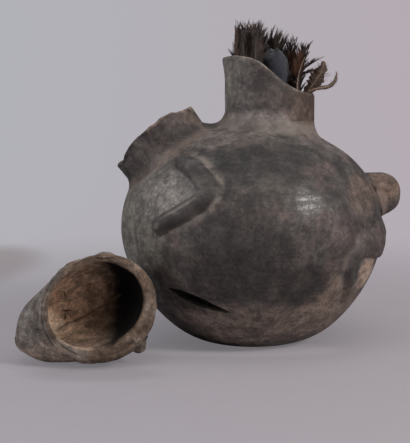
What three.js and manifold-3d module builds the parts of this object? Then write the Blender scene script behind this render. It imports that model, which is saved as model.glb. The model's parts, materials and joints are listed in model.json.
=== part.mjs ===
// A hand-built clay vessel in the shape of a crouching animal, with a stopper of feathers
// packed round a wad of cloth, and the animal's broken-off head lying beside it.
// Millimetres, +Z up. The origin is the centre of the foot, on the table. The animal faces -X,
// and its left side, with the slot, faces -Y. A level on the globe is -1 at the foot, 0 at the
// belly and 1 at the crown, and angles are compass angles in degrees from +X towards +Y.
import * as THREE from "three";
import { LoftGeometry } from "three/addons/geometries/LoftGeometry.js";
import { mergeVertices } from "three/addons/utils/BufferGeometryUtils.js";
import Module from "manifold-3d";

const wasm = await Module();
wasm.setup();

// Clearances
const seatGap = 0.3; // between two fired or packed pieces that touch
const cutMargin = 30; // how far a cutter runs past what it cuts

// Globe
const bellyRadius = 117;
const bellyHeight = 98;
const crownHeight = 193;
const footRadius = 40;
const wallThickness = 7;
const floorThickness = 9;
const lowerFullness = [1.6, 1.7]; // exponents of the curve from the foot to the belly
const upperFullness = [2.3, 2]; // exponents of the curve from the belly to the crown
const globeSegments = 48;
const globeSteps = 8; // profile steps in each half

// Neck
const neckX = 15.5; // the neck stands behind the middle, to leave room for the animal's own neck
const neckRadius = 40;
const neckWall = 5.5;
const neckRise = 59; // highest point of the broken rim, above the crown
const rimFlare = 3;
const rimFlareHeight = 22;
const rimFlareHalfway = 0.3; // share of the flare reached at half its height
const neckSegments = 40;
// The broken rim, from the front of the animal to its back: place in neck radii, then its drop
const rimBreak = [
  [-1.2, 1.5], [-0.85, 0], [-0.55, 1.8], [-0.3, 5.5], [-0.2, 8.5],
  [0.125, 19], [0.275, 23.5], [0.6, 29.5], [0.85, 32], [1.2, 31],
];
// The luted coil round the foot of the neck, smoothed into a low ramp
const coilWidth = 9;
const coilRise = 9;
const coilEdge = 1; // thickness left at its outer edge
const coilSink = 6; // how far it is made below the shoulder, before the globe trims it
const coilCurve = 4; // steps of its hollow face

// Socket: the stump of the animal's neck, which the head broke away from
const socketLevel = 0.768;
const socketSink = 2.4; // its base lies under the globe's surface
const socketLean = THREE.MathUtils.degToRad(37.2); // from upright, towards the front
const socketRadius = 42.4;
const socketWall = 6.5;
const socketFlare = 3.6; // how much wider the foot is
const socketFlareHeight = 14;
const socketBarrel = 5; // height of its straight upper part
const socketDepth = 24; // how far the tube is made below its base, before the globe trims it
// The broken edge seen from the side: place in socket radii, then height above its base
const socketBreak = [
  [-1.32, 17], [-1.01, 16], [-0.87, 14.5], [-0.66, 18.5], [-0.42, 22.5],
  [-0.12, 23.8], [0.5, 24], [0.75, 20.5], [1.04, 16.5], [1.32, 16],
];

// Limbs, each a coil pressed on to the globe: angle, level, then the coil's radius
const foreleg = [
  [226, 0.684, 9.2], [236, 0.632, 9.2], [244, 0.547, 9], [248, 0.453, 8.8],
  [246.6, 0.373, 8.6], [240.6, 0.284, 8.3], [233, 0.2, 8.1], [225, 0.109, 8],
];
const hindleg = [
  [353, 0.01, 7], [351, 0.01, 12.5], [345, 0.01, 17], [335, 0, 16], [325, -0.02, 13.5],
  [316.5, -0.061, 11], [313.6, -0.163, 10], [315, -0.286, 10], [318.5, -0.418, 10], [321, -0.531, 10],
];
const forelegRelief = 5.8; // how far the coils stand out of the globe
const hindlegRelief = 4.2;
const limbSides = 12;
const limbSteps = 20;

// Tail: a flat round lobe
const tailLevel = 0.363;
const tailLobe = 17.5;
const tailStand = 22.3; // how far it stands out of the globe
const tailThickness = 18;
const tailSquareness = 0.8; // exponent of the section: 1 is an ellipse, less is squarer
const tailThinning = 0.7; // exponent: how late the lobe thins towards its edge
const tailSides = 20;
const tailSteps = 6;
const tailDimple = 16; // radius of the thumb mark's ball
const tailDimpleDepth = 2.4;
const tailDimpleOut = 3; // how far the mark lies past the lobe's middle

// Slot in the lower wall, cut level
const slotAngle = 241;
const slotLevel = -0.5;
const slotLength = 56;
const slotWidth = 9.2;
const slotTilt = THREE.MathUtils.degToRad(-18.5);
const slotFullest = [-0.35, 0.1]; // where its upper and lower edges bulge, in half lengths

// Head, in its own frame: +X to the snout, +Y to one ear, +Z out of the neck opening
const headWall = 7.5;
const hollowShift = [2, -2.5]; // the hollow lies off the middle, to the snout and to one side
// Rails of the shell in its plane of symmetry, from the opening to the tip of the snout
const headFront = [[46, 0], [50, -7], [57, -9], [65, -13], [71, -19], [74, -27]];
const headBack = [[-44, 0], [-44.5, -22], [-33, -46], [-6, -63], [32, -65], [73, -33]];
const headHalfWidth = [42.5, 41.5, 38, 32, 24.5, 6];
const headSegments = 32;
const headSteps = 13;
const hollowSteps = 11;
const hollowShare = 0.84; // share of the rails that the hollow follows
const bandRadius = 2.6;
const bandShare = 0.13; // share of the rails, from the opening
const bandSink = 0.2;
const bandScallops = 17;
const bandScallopDepth = 0.45;
const bandTaper = 4; // steps over which its ends thin out
const bandSides = 8;
const bandFrom = -92;
const bandTo = 93;
const earPlace = [-20, -9]; // along the snout and out of the opening
const earRadius = 6.5;
const earOut = { right: 2, left: -3 }; // how far the ears' middles lie off the shell
// How it lies: where its snout and its opening point, and where the opening's middle is
const snoutDirection = new THREE.Vector3(-0.9, -0.06, -0.42);
const openingDirection = new THREE.Vector3(0.2, -0.97, 0.08);
const headAngle = 222.57;
const headDistance = 50; // beyond the belly

// Stopper: a bung of cloth, drawn up into a column that leans on the front of the bore
const plugLift = 4; // its underside, above the crown
const bungHeight = 15;
const bungRound = 5;
const clothRise = 12; // the column's top, above the rim
const clothAngle = 281.3;
const clothOffset = 12.75; // the column's axis, off the neck's
const clothStandOff = 7.4; // room between the column and the bore
const clothFolds = 7;
const clothFoldDepth = 0.07;
const clothSides = 28;
// The column's rings: share of its height, then share of its radius
const clothColumn = [[0, 1], [0.27, 0.94], [0.54, 1], [0.83, 0.97], [0.94, 0.78], [1, 0.4]];

// Stopper: feathers, in rings about the neck's axis that stop short of the cloth
const featherThickness = 1.5;
const featherRidge = 0.5;
const quillRadius = 1.1;
const quillLength = 14;
const featherGap = 2.5; // between neighbours in a ring
const featherSteps = 5;
// Its section: place across in half blades, side, and how the ragged tip rises or falls there
const featherOutline = [
  [-1, 1, -1], [-0.5, 1, 0.6], [0, 1, -0.4], [0.5, 1, 1],
  [1, 1, -0.8], [1, -1, -0.8], [0, -1, 0.2], [-1, -1, -1],
];
const featherRagged = 2.2;
const clothClearance = 2.6; // between a ring's last feather and the cloth
const clothShow = 26; // least half angle that a ring leaves open in front of the cloth
const plumeSlope = 0.46; // the plume is tallest at the front of the animal
// Each ring's distance in from the bore, its number of feathers and its tips' height above the rim
const featherRings = [
  { name: "outer", inset: 3.1, count: 13, tip: 13 },
  { name: "middle", inset: 7.5, count: 9, tip: 16 },
  { name: "inner", inset: 12.1, count: 6, tip: 17 },
  { name: "core", inset: 17.5, count: 4, tip: 18 },
];
const plumeLean = 13; // how far the feathers over the low side of the rim lean out
const leanSpread = 52; // degrees either side of the low side
const leanRise = 32; // height over which they reach that lean

// Stray quills that curl out over the low side of the rim, each in the gap after an outer feather:
// distance out from the ring, then height above the low side of the rim
const strayRadius = 0.8;
const strayThinning = 0.5;
const straySides = 6;
const straySteps = 14;
const strayQuills = [
  { after: 1, curl: [[0.2, 2.3], [5.6, 8.3], [15.6, 10.3], [24.6, 13.3], [27.6, 21.3]] },
  { after: 2, curl: [[0, 4.3], [3.6, 12.3], [11.6, 19.3], [20.6, 29.3]] },
];

// Sizes that follow from these
const neckBore = neckRadius - neckWall;
const neckTop = crownHeight + neckRise;
const lowRim = neckTop - Math.max(...rimBreak.map(([, drop]) => drop));
const socketBore = socketRadius - socketWall;
const stopperBottom = crownHeight + plugLift;
const shelf = stopperBottom + bungHeight; // the bung's top
const clothTop = neckTop + clothRise;
const clothRadius = (neckBore - clothStandOff - clothOffset) / (1 + clothFoldDepth);

// Materials
const greyClay = { color: 0x4d4844, roughness: 0.62, metalness: 0 };
const brownClay = { color: 0x54453b, roughness: 0.72, metalness: 0 };
const paleClay = { color: 0x6f5f4f, roughness: 0.85, metalness: 0 };
const blueCloth = { color: 0x2b2e3a, roughness: 0.9, metalness: 0 };
const darkFeather = { color: 0x2a211c, roughness: 0.6, metalness: 0 };
const brownFeather = { color: 0x55402f, roughness: 0.6, metalness: 0 };

// Makes a solid of a closed geometry.
function solidOf(geometry) {
  const plain = geometry.index ? geometry.toNonIndexed() : geometry;
  plain.deleteAttribute("normal");
  plain.deleteAttribute("uv");
  const merged = mergeVertices(plain, 1e-3);
  return new wasm.Manifold(new wasm.Mesh({
    numProp: 3,
    vertProperties: merged.attributes.position.array,
    triVerts: new Uint32Array(merged.index.array),
  }));
}

// Turns a solid back into a geometry.
function geometryOf(solid) {
  const mesh = solid.getMesh();
  const geometry = new THREE.BufferGeometry();
  geometry.setAttribute("position", new THREE.BufferAttribute(new Float32Array(mesh.vertProperties), 3));
  geometry.setIndex(new THREE.BufferAttribute(new Uint32Array(mesh.triVerts), 1));
  geometry.computeVertexNormals();
  return geometry;
}

// Adds one named piece, a closed geometry or a solid, to a group.
function addPiece(group, name, shape, material) {
  const solid = shape.isBufferGeometry ? solidOf(shape) : shape;
  const mesh = new THREE.Mesh(geometryOf(solid), new THREE.MeshStandardMaterial(material));
  mesh.name = name;
  group.add(mesh);
}

// A solid skinned through closed sections, capped at both ends.
function lofted(sections) {
  return solidOf(new LoftGeometry(sections, { capStart: true, capEnd: true }));
}

// A closed ring through sections that go anticlockwise round the Z axis, each listed from its
// top inner corner outwards and down.
function ringThrough(sections) {
  const around = sections[0].length;
  const vertices = sections.flatMap((section) => section.flatMap((p) => p.toArray()));
  const faces = [];
  sections.forEach((_, i) => {
    const here = i * around;
    const next = ((i + 1) % sections.length) * around;
    for (let k = 0; k < around; k++) {
      const l = (k + 1) % around;
      faces.push(here + k, here + l, next + k, next + k, here + l, next + l);
    }
  });
  const geometry = new THREE.BufferGeometry();
  geometry.setAttribute("position", new THREE.Float32BufferAttribute(vertices, 3));
  return solidOf(geometry.setIndex(faces));
}

// A profile of radius and height turned round the Z axis.
function turned(profile, segments) {
  const points = profile.map(([radius, height]) => new THREE.Vector2(radius, height));
  return solidOf(new THREE.LatheGeometry(points, segments).rotateX(Math.PI / 2));
}

// An upright round bar between two heights.
function bar(radius, bottom, top) {
  const length = top - bottom;
  const cylinder = new THREE.CylinderGeometry(radius, radius, length, neckSegments).rotateX(Math.PI / 2);
  return solidOf(cylinder.translate(0, 0, bottom + length / 2));
}

// Height of a level on the globe.
function levelHeight(level) {
  return bellyHeight + level * (level < 0 ? bellyHeight : crownHeight - bellyHeight);
}

// Radius of the globe's outer surface at a height; inset makes the same curve inside the wall.
function globeRadius(height, inset = 0) {
  const bottom = inset > 0 ? floorThickness : 0;
  if (height <= bellyHeight) {
    const share = 1 - THREE.MathUtils.clamp((height - bottom) / (bellyHeight - bottom), 0, 1);
    const bulge = (1 - share ** lowerFullness[0]) ** (1 / lowerFullness[1]);
    return footRadius - inset + (bellyRadius - footRadius) * bulge;
  }
  const rise = THREE.MathUtils.clamp((height - bellyHeight) / (crownHeight - inset - bellyHeight), 0, 1);
  return (bellyRadius - inset) * (1 - rise ** upperFullness[0]) ** (1 / upperFullness[1]);
}

// Height of the globe's upper surface at a distance from its axis.
function shoulderHeight(distance) {
  const share = Math.min(distance / bellyRadius, 1);
  const rise = (1 - share ** upperFullness[1]) ** (1 / upperFullness[0]);
  return bellyHeight + (crownHeight - bellyHeight) * rise;
}

// The globe as a solid of revolution, grown outwards by a margin or drawn in by a wall.
function globeSolid(grow, inset = 0) {
  const bottom = inset > 0 ? floorThickness : 0;
  const top = crownHeight - inset;
  const profile = [[0, bottom - grow]];
  for (let i = 0; i <= globeSteps; i++) {
    const height = bottom + (bellyHeight - bottom) * (1 - Math.cos((i / globeSteps) * (Math.PI / 2)));
    profile.push([globeRadius(height, inset) + grow, i === 0 ? height - grow : height]);
  }
  for (let i = 1; i < globeSteps; i++) {
    const height = bellyHeight + (top - bellyHeight) * Math.sin((i / globeSteps) * (Math.PI / 2));
    profile.push([globeRadius(height, inset) + grow, height + grow * (i / globeSteps)]);
  }
  profile.push([0, top + grow]);
  return turned(profile, globeSegments);
}

// A point on the globe at an angle and height, moved out along the surface's normal.
function onGlobe(angle, height, out) {
  const turn = THREE.MathUtils.degToRad(angle);
  const step = 0.5;
  const slope = (globeRadius(height + step) - globeRadius(height - step)) / (2 * step);
  const normal = new THREE.Vector3(Math.cos(turn), Math.sin(turn), -slope).normalize();
  const radius = globeRadius(height);
  const point = new THREE.Vector3(radius * Math.cos(turn), radius * Math.sin(turn), height);
  return { point: point.addScaledVector(normal, out), normal };
}

// Carries a solid from the socket's own frame, with +Z along its bore, to the shoulder.
function atSocket(solid) {
  const base = onGlobe(180, levelHeight(socketLevel), -socketSink).point;
  return solidOf(geometryOf(solid).rotateY(-socketLean).translate(base.x, base.y, base.z));
}

// The globe with its hollow, its two mouths and its slot.
function makeGlobe() {
  const crownCut = bar(neckBore, bellyHeight + cutMargin, neckTop).translate([neckX, 0, 0]);
  const shoulderCut = atSocket(bar(socketBore, -socketDepth, socketDepth));
  return globeSolid(0)
    .subtract(globeSolid(0, wallThickness))
    .subtract(crownCut)
    .subtract(shoulderCut)
    .subtract(slotCutter());
}

// A leaf-shaped cutter that passes level through the lower wall.
function slotCutter() {
  const tip = slotLength / 2;
  const leaf = new THREE.Shape();
  leaf.moveTo(-tip, 0);
  leaf.quadraticCurveTo(tip * slotFullest[0], slotWidth, tip, 0);
  leaf.quadraticCurveTo(-tip * slotFullest[1], -slotWidth, -tip, 0);
  const depth = 4 * wallThickness;
  const cutter = new THREE.ExtrudeGeometry(leaf, { depth, bevelEnabled: false, curveSegments: 12 });
  const middle = onGlobe(slotAngle, levelHeight(slotLevel), 0).point;
  cutter.translate(0, 0, -depth / 2).rotateZ(slotTilt).rotateX(Math.PI / 2);
  cutter.rotateZ(THREE.MathUtils.degToRad(slotAngle + 90)).translate(middle.x, middle.y, middle.z);
  return solidOf(cutter);
}

// The room that the neck and its coil take on the shoulder.
function neckRoom() {
  return bar(neckRadius + coilWidth + 2 * seatGap, bellyHeight, neckTop).translate([neckX, 0, 0]);
}

// The room that the socket takes on the shoulder.
function socketRoom() {
  return atSocket(bar(socketRadius + socketFlare + seatGap, -socketDepth, socketDepth));
}

// The space over a broken edge, as a cutter: its outline follows the edge, then runs up and back.
function overEdge(edge, top, half) {
  const curve = new THREE.SplineCurve(edge.map(([x, z]) => new THREE.Vector2(x, z)));
  const outline = new THREE.Shape(curve.getPoints(4 * edge.length));
  outline.lineTo(edge[edge.length - 1][0], top);
  outline.lineTo(edge[0][0], top);
  outline.closePath();
  const plate = new THREE.ExtrudeGeometry(outline, { depth: 2 * half, bevelEnabled: false });
  return solidOf(plate.rotateX(Math.PI / 2).translate(0, half, 0));
}

// The neck, a tube with an oblique broken rim.
function makeNeck(seat) {
  const flareFrom = neckTop - rimFlareHeight;
  const bottom = bellyHeight + cutMargin;
  const tube = turned([
    [neckBore, bottom], [neckRadius, bottom], [neckRadius, flareFrom],
    [neckRadius + rimFlare * rimFlareHalfway, flareFrom + rimFlareHeight / 2],
    [neckRadius + rimFlare, neckTop + 1], [neckBore + rimFlare + 1, neckTop + 1],
    [neckBore, flareFrom], [neckBore, bottom],
  ], neckSegments);
  const edge = rimBreak.map(([share, drop]) => [share * neckRadius, neckTop - drop]);
  const cutter = overEdge(edge, neckTop + cutMargin, neckRadius + cutMargin);
  return tube.subtract(cutter).translate([neckX, 0, 0]).subtract(seat);
}

// The coil of clay that seals the foot of the neck to the shoulder, with a hollow outer face. Its
// section follows the shoulder as it goes round the neck.
function makeNeckCoil(seat) {
  const sections = Array.from({ length: neckSegments }, (_, i) => {
    const turn = (i / neckSegments) * 2 * Math.PI;
    const at = (out, up) => {
      const radius = neckRadius + seatGap + out;
      const x = neckX + radius * Math.cos(turn);
      const y = radius * Math.sin(turn);
      return new THREE.Vector3(x, y, shoulderHeight(Math.hypot(x, y)) + up);
    };
    const face = Array.from({ length: coilCurve + 1 }, (_, k) => {
      const share = (k / coilCurve) * (Math.PI / 2);
      return at(coilWidth * (1 - Math.cos(share)), coilRise * (1 - Math.sin(share)) + coilEdge);
    });
    return [...face, at(coilWidth, -coilSink), at(0, -coilSink)];
  });
  return ringThrough(sections).subtract(seat);
}

// The stump of the animal's neck.
function makeSocket(seat) {
  const top = Math.max(...socketBreak.map(([, height]) => height)) + 1;
  const flareTop = top - socketBarrel - socketFlareHeight;
  const tube = turned([
    [socketBore, -socketDepth], [socketRadius + socketFlare, -socketDepth],
    [socketRadius + socketFlare / 2, flareTop - socketFlareHeight], [socketRadius, flareTop],
    [socketRadius, top], [socketBore, top], [socketBore, -socketDepth],
  ], neckSegments);
  const edge = socketBreak.map(([share, height]) => [share * socketRadius, height]);
  const broken = tube.subtract(overEdge(edge, top + cutMargin, socketRadius + cutMargin));
  return atSocket(broken).subtract(seat).subtract(neckRoom());
}

// A coil of clay swept over the globe, sunk until only its relief stands out; side -1 mirrors it
// to the far side.
function makeLimb(joints, relief, side, seat) {
  const knots = joints.map(([angle, level, radius]) => new THREE.Vector3(angle, levelHeight(level), radius));
  const route = new THREE.CatmullRomCurve3(knots).getPoints(limbSteps);
  const stops = route.map((p) => ({ ...onGlobe(p.x, p.y, relief - p.z), radius: p.z }));
  const sections = stops.map(({ point, normal, radius }, i) => {
    const before = stops[Math.max(i - 1, 0)].point;
    const after = stops[Math.min(i + 1, stops.length - 1)].point;
    const across = normal.clone().cross(after.clone().sub(before)).normalize();
    return Array.from({ length: limbSides }, (_, k) => {
      const turn = (k / limbSides) * 2 * Math.PI;
      return point.clone()
        .addScaledVector(across, radius * Math.cos(turn))
        .addScaledVector(normal, radius * Math.sin(turn));
    });
  });
  const coil = lofted(sections).subtract(seat).subtract(socketRoom());
  return side < 0 ? coil.mirror([0, 1, 0]) : coil;
}

// The tail, a round lobe with a thumb mark on its near face.
function makeTail(seat) {
  const height = levelHeight(tailLevel);
  const reach = globeRadius(height) + tailStand;
  const centre = reach - tailLobe;
  const ring = (x, share) => Array.from({ length: tailSides }, (_, k) => {
    const turn = (k / tailSides) * 2 * Math.PI;
    const rounded = (value) => Math.sign(value) * Math.abs(value) ** tailSquareness;
    return new THREE.Vector3(
      x,
      (tailThickness / 2) * share ** tailThinning * rounded(Math.cos(turn)),
      height + tailLobe * share * rounded(Math.sin(turn)),
    );
  });
  const sections = [ring(globeRadius(height) - 2 * wallThickness, 1)];
  for (let i = 0; i <= tailSteps; i++) {
    const turn = (i / (tailSteps + 0.4)) * (Math.PI / 2);
    sections.push(ring(centre + tailLobe * Math.sin(turn), Math.cos(turn)));
  }
  const thumb = new THREE.SphereGeometry(tailDimple, 20, 12);
  thumb.translate(centre + tailDimpleOut, tailDimpleDepth - tailThickness / 2 - tailDimple, height);
  return lofted(sections).subtract(solidOf(thumb)).subtract(seat);
}

// A point on a rail of the head, at a share of its length.
function alongRail(rail, share) {
  const curve = new THREE.SplineCurve(rail.map(([x, z]) => new THREE.Vector2(x, z)));
  return curve.getPoint(share);
}

// One ring of the head's shell at a share of the rails, drawn in by an inset. It starts at the
// front rail and runs by the -Y side.
function headRing(share, inset, shift = [0, 0]) {
  const front = alongRail(headFront, share);
  const back = alongRail(headBack, share);
  const middle = front.clone().add(back).multiplyScalar(0.5);
  const reach = front.clone().sub(back).multiplyScalar(0.5);
  const shrink = (reach.length() - inset) / reach.length();
  const halfWidth = alongRail(headHalfWidth.map((width, i) => [i, width]), share).y - inset;
  return Array.from({ length: headSegments }, (_, k) => {
    const turn = (k / headSegments) * 2 * Math.PI;
    return new THREE.Vector3(
      middle.x + reach.x * shrink * Math.cos(turn) + shift[0],
      -halfWidth * Math.sin(turn) + shift[1],
      middle.y + reach.y * shrink * Math.cos(turn),
    );
  });
}

// The head's outside as a solid, grown by a margin.
function headOutside(grow) {
  const rings = Array.from({ length: headSteps + 1 }, (_, i) => headRing(i / headSteps, -grow));
  rings[0].forEach((p) => p.setZ(p.z + grow));
  return lofted(rings);
}

// The head: a hollow shell, open where it broke from the animal's neck.
function makeHeadShell() {
  const rings = Array.from({ length: hollowSteps + 1 }, (_, i) => (
    headRing((i / hollowSteps) * hollowShare, headWall, hollowShift)
  ));
  rings.unshift(rings[0].map((p) => p.clone().setZ(p.z + 1)));
  return headOutside(0).subtract(lofted(rings));
}

// A scalloped band pressed round the front of the opening.
function makeHeadBand(seat) {
  const steps = 2 * bandScallops;
  const loop = new THREE.CatmullRomCurve3(headRing(bandShare, -bandSink), true);
  const sections = Array.from({ length: steps + 1 }, (_, i) => {
    const share = (1 + THREE.MathUtils.lerp(bandFrom, bandTo, i / steps) / 360) % 1;
    const point = loop.getPoint(share);
    const tangent = loop.getTangent(share);
    const out = tangent.clone().cross(new THREE.Vector3(0, 0, 1)).normalize();
    const up = tangent.clone().cross(out).normalize();
    const ends = Math.min(1, (Math.min(i, steps - i) + 1) / bandTaper);
    const radius = ends * (bandRadius - (i % 2) * bandScallopDepth);
    return Array.from({ length: bandSides }, (_, k) => {
      const turn = (k / bandSides) * 2 * Math.PI;
      return point.clone()
        .addScaledVector(out, radius * Math.cos(turn))
        .addScaledVector(up, radius * Math.sin(turn));
    });
  });
  return lofted(sections).subtract(seat);
}

// One ear, a small round lug; side is 1 or -1.
function makeEar(side, out, seat) {
  const across = headHalfWidth[0] * Math.sqrt(1 - (earPlace[0] / headBack[0][0]) ** 2) + out;
  const ear = new THREE.SphereGeometry(earRadius, 16, 10);
  return solidOf(ear.translate(earPlace[0], side * across, earPlace[1])).subtract(seat);
}

// The head group, turned as it lies and set down so that its lowest point is on the table.
function makeHead() {
  const head = new THREE.Group();
  const opening = openingDirection.clone().normalize();
  const side = opening.clone().cross(snoutDirection).normalize();
  const snout = side.clone().cross(opening).normalize();
  head.setRotationFromMatrix(new THREE.Matrix4().makeBasis(snout, side, opening));
  const seat = headOutside(seatGap);
  addPiece(head, "head_shell", makeHeadShell(), paleClay);
  addPiece(head, "head_band", makeHeadBand(seat), greyClay);
  addPiece(head, "ear_right", makeEar(1, earOut.right, seat), paleClay);
  addPiece(head, "ear_left", makeEar(-1, earOut.left, seat), paleClay);
  head.updateMatrixWorld(true);
  const lowest = new THREE.Box3().setFromObject(head, true).min.z;
  const turn = THREE.MathUtils.degToRad(headAngle);
  const distance = bellyRadius + headDistance;
  head.position.set(distance * Math.cos(turn), distance * Math.sin(turn), -lowest);
  return head;
}

// The cloth: a bung that fills the bore, drawn up into a folded column. Each ring of it has a
// height, a radius and a share of the column's offset and folds.
function makeCloth() {
  const bung = neckBore - seatGap;
  const turn = THREE.MathUtils.degToRad(clothAngle);
  const bungRings = [
    [stopperBottom, bung - bungRound, 0], [stopperBottom + bungRound, bung, 0],
    [shelf - 1, bung, 0], [shelf, bung - 1, 0],
  ];
  const columnRings = clothColumn.map(([rise, width]) => (
    [THREE.MathUtils.lerp(shelf, clothTop, rise), clothRadius * width, 1]
  ));
  const sections = [...bungRings, ...columnRings].map(([height, radius, share]) => (
    Array.from({ length: clothSides }, (_, k) => {
      const around = (k / clothSides) * 2 * Math.PI;
      const folded = radius * (1 - share * clothFoldDepth * Math.cos(clothFolds * around));
      return new THREE.Vector3(
        neckX + clothOffset * share * Math.cos(turn) + folded * Math.cos(around),
        clothOffset * share * Math.sin(turn) + folded * Math.sin(around),
        height,
      );
    })
  ));
  return lofted(sections);
}

// Where a ring of feathers starts and the angle each takes: all round but for the cloth's room.
function ringArc(radius, count) {
  const clear = clothRadius * (1 + clothFoldDepth) + clothClearance;
  const cosine = (radius ** 2 + clothOffset ** 2 - clear ** 2) / (2 * radius * clothOffset);
  const room = THREE.MathUtils.radToDeg(Math.acos(THREE.MathUtils.clamp(cosine, -1, 1)));
  const half = Math.max(room, clothShow);
  return { from: clothAngle + half, slot: (360 - 2 * half) / count };
}

// How far the plume leans out over the low side of the rim, at an angle and a distance from the
// neck's axis and a height. One field moves every ring, so that none crosses another.
function leanAt(angle, radius, height) {
  const away = Math.abs(((THREE.MathUtils.radToDeg(angle) + 540) % 360) - 180);
  const rise = Math.max(0, (height - shelf - quillLength) / leanRise);
  const share = Math.max(0, 1 - (away / leanSpread) ** 2);
  return plumeLean * share * (radius / (neckBore - featherRings[0].inset)) ** 2 * rise ** 1.5;
}

// One feather: a bare quill that widens into a curved blade with a ridge and a ragged tip.
function makeFeather(ring, index) {
  const ringRadius = neckBore - ring.inset;
  const { from, slot } = ringArc(ringRadius, ring.count);
  const angle = THREE.MathUtils.degToRad(from + (index + 0.5) * slot);
  const halfBlade = THREE.MathUtils.degToRad(slot) / 2 - featherGap / 2 / ringRadius;
  const halfQuill = quillRadius / ringRadius;
  const foot = shelf + seatGap;
  const blade = shelf + quillLength;
  const tip = neckTop + ring.tip - plumeSlope * ringRadius * Math.cos(angle);
  const sections = Array.from({ length: featherSteps + 1 }, (_, i) => {
    const height = i === 0 ? foot : THREE.MathUtils.lerp(blade, tip, (i - 1) / (featherSteps - 1));
    const half = THREE.MathUtils.lerp(halfQuill, halfBlade, THREE.MathUtils.clamp((i - 1) / 2, 0, 1));
    const ragged = i === featherSteps ? featherRagged : 0;
    return featherOutline.map(([across, side, rise]) => {
      const turn = angle + across * half;
      const ridge = side > 0 && across === 0 ? featherRidge : 0;
      const out = side * (featherThickness / 2) + ridge;
      const radius = ringRadius + out + leanAt(turn, ringRadius, height);
      const x = neckX + radius * Math.cos(turn);
      return new THREE.Vector3(x, radius * Math.sin(turn), height + rise * ragged);
    });
  });
  return lofted(sections);
}

// A stray quill in the gap after an outer feather, curling out over the rim.
function makeStrayQuill({ after, curl }) {
  const ringRadius = neckBore - featherRings[0].inset;
  const { from, slot } = ringArc(ringRadius, featherRings[0].count);
  const angle = THREE.MathUtils.degToRad(from + after * slot);
  const foot = new THREE.Vector2(ringRadius, shelf + seatGap);
  const knots = curl.map(([out, up]) => new THREE.Vector2(ringRadius + out, lowRim + up));
  const stops = new THREE.SplineCurve([foot, ...knots]).getPoints(straySteps);
  const sections = stops.map((p, i) => {
    const before = stops[Math.max(i - 1, 0)];
    const afterwards = stops[Math.min(i + 1, stops.length - 1)];
    const run = afterwards.clone().sub(before).normalize();
    const radius = strayRadius * (1 - strayThinning * (i / straySteps));
    return Array.from({ length: straySides }, (_, k) => {
      const turn = (k / straySides) * 2 * Math.PI;
      const out = p.x - run.y * radius * Math.cos(turn);
      const across = -radius * Math.sin(turn);
      return new THREE.Vector3(
        neckX + out * Math.cos(angle) - across * Math.sin(angle),
        out * Math.sin(angle) + across * Math.cos(angle),
        p.y + run.x * radius * Math.cos(turn),
      );
    });
  });
  return lofted(sections);
}

// The pot, one fired body of luted pieces
function makePot() {
  const pot = new THREE.Group();
  const seat = globeSolid(seatGap);
  addPiece(pot, "pot_globe", makeGlobe(), greyClay);
  addPiece(pot, "neck", makeNeck(seat), greyClay);
  addPiece(pot, "neck_coil", makeNeckCoil(seat), greyClay);
  addPiece(pot, "head_socket", makeSocket(seat), brownClay);
  addPiece(pot, "foreleg_left", makeLimb(foreleg, forelegRelief, 1, seat), greyClay);
  addPiece(pot, "foreleg_right", makeLimb(foreleg, forelegRelief, -1, seat), greyClay);
  addPiece(pot, "hindleg_left", makeLimb(hindleg, hindlegRelief, 1, seat), greyClay);
  addPiece(pot, "hindleg_right", makeLimb(hindleg, hindlegRelief, -1, seat), greyClay);
  addPiece(pot, "tail", makeTail(seat), brownClay);
  return pot;
}

// The stopper, which pulls out of the neck as one
function makeStopper() {
  const stopper = new THREE.Group();
  addPiece(stopper, "cloth_wad", makeCloth(), blueCloth);
  for (const ring of featherRings) {
    for (let i = 0; i < ring.count; i++) {
      const material = (i + ring.count) % 3 ? darkFeather : brownFeather;
      addPiece(stopper, `feather_${ring.name}_${i + 1}`, makeFeather(ring, i), material);
    }
  }
  strayQuills.forEach((quill, i) => {
    addPiece(stopper, `stray_quill_${i + 1}`, makeStrayQuill(quill), brownFeather);
  });
  return stopper;
}

const vessel = new THREE.Group();
vessel.name = "zoomorphic_vase";
vessel.add(makePot(), makeStopper(), makeHead());

export default vessel;
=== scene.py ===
"""Looks of a hand-built clay vessel shaped as a crouching animal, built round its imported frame.

Metres, +Z up, with the origin at the centre of the foot. The animal faces -X, and its left side
faces -Y, towards the camera. Angles are compass angles in degrees from +X towards +Y. A level on
the globe is -1 at the foot, 0 at the belly and 1 at the crown.
"""

import json
import logging
import math
from dataclasses import dataclass, replace
from enum import Enum
from typing import Sequence

import bpy
import numpy as np
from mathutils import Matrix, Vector


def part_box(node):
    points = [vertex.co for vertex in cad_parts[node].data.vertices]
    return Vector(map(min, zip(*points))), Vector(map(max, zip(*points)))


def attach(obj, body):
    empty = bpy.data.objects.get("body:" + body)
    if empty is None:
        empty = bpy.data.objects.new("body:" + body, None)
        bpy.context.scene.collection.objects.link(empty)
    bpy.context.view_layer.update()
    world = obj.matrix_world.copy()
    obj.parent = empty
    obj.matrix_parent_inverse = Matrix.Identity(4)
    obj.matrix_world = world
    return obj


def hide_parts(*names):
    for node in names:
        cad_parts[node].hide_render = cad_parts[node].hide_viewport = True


Array = np.ndarray
Colour = tuple[float, float, float]
Place = tuple[float, float, float]
Pair = tuple[float, float]
Piece = bpy.types.Object
Material = bpy.types.Material
Group = bpy.types.NodeTree
Node = bpy.types.Node
Output = bpy.types.NodeSocket

MM = 0.001
log = logging.getLogger("vessel")

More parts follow.
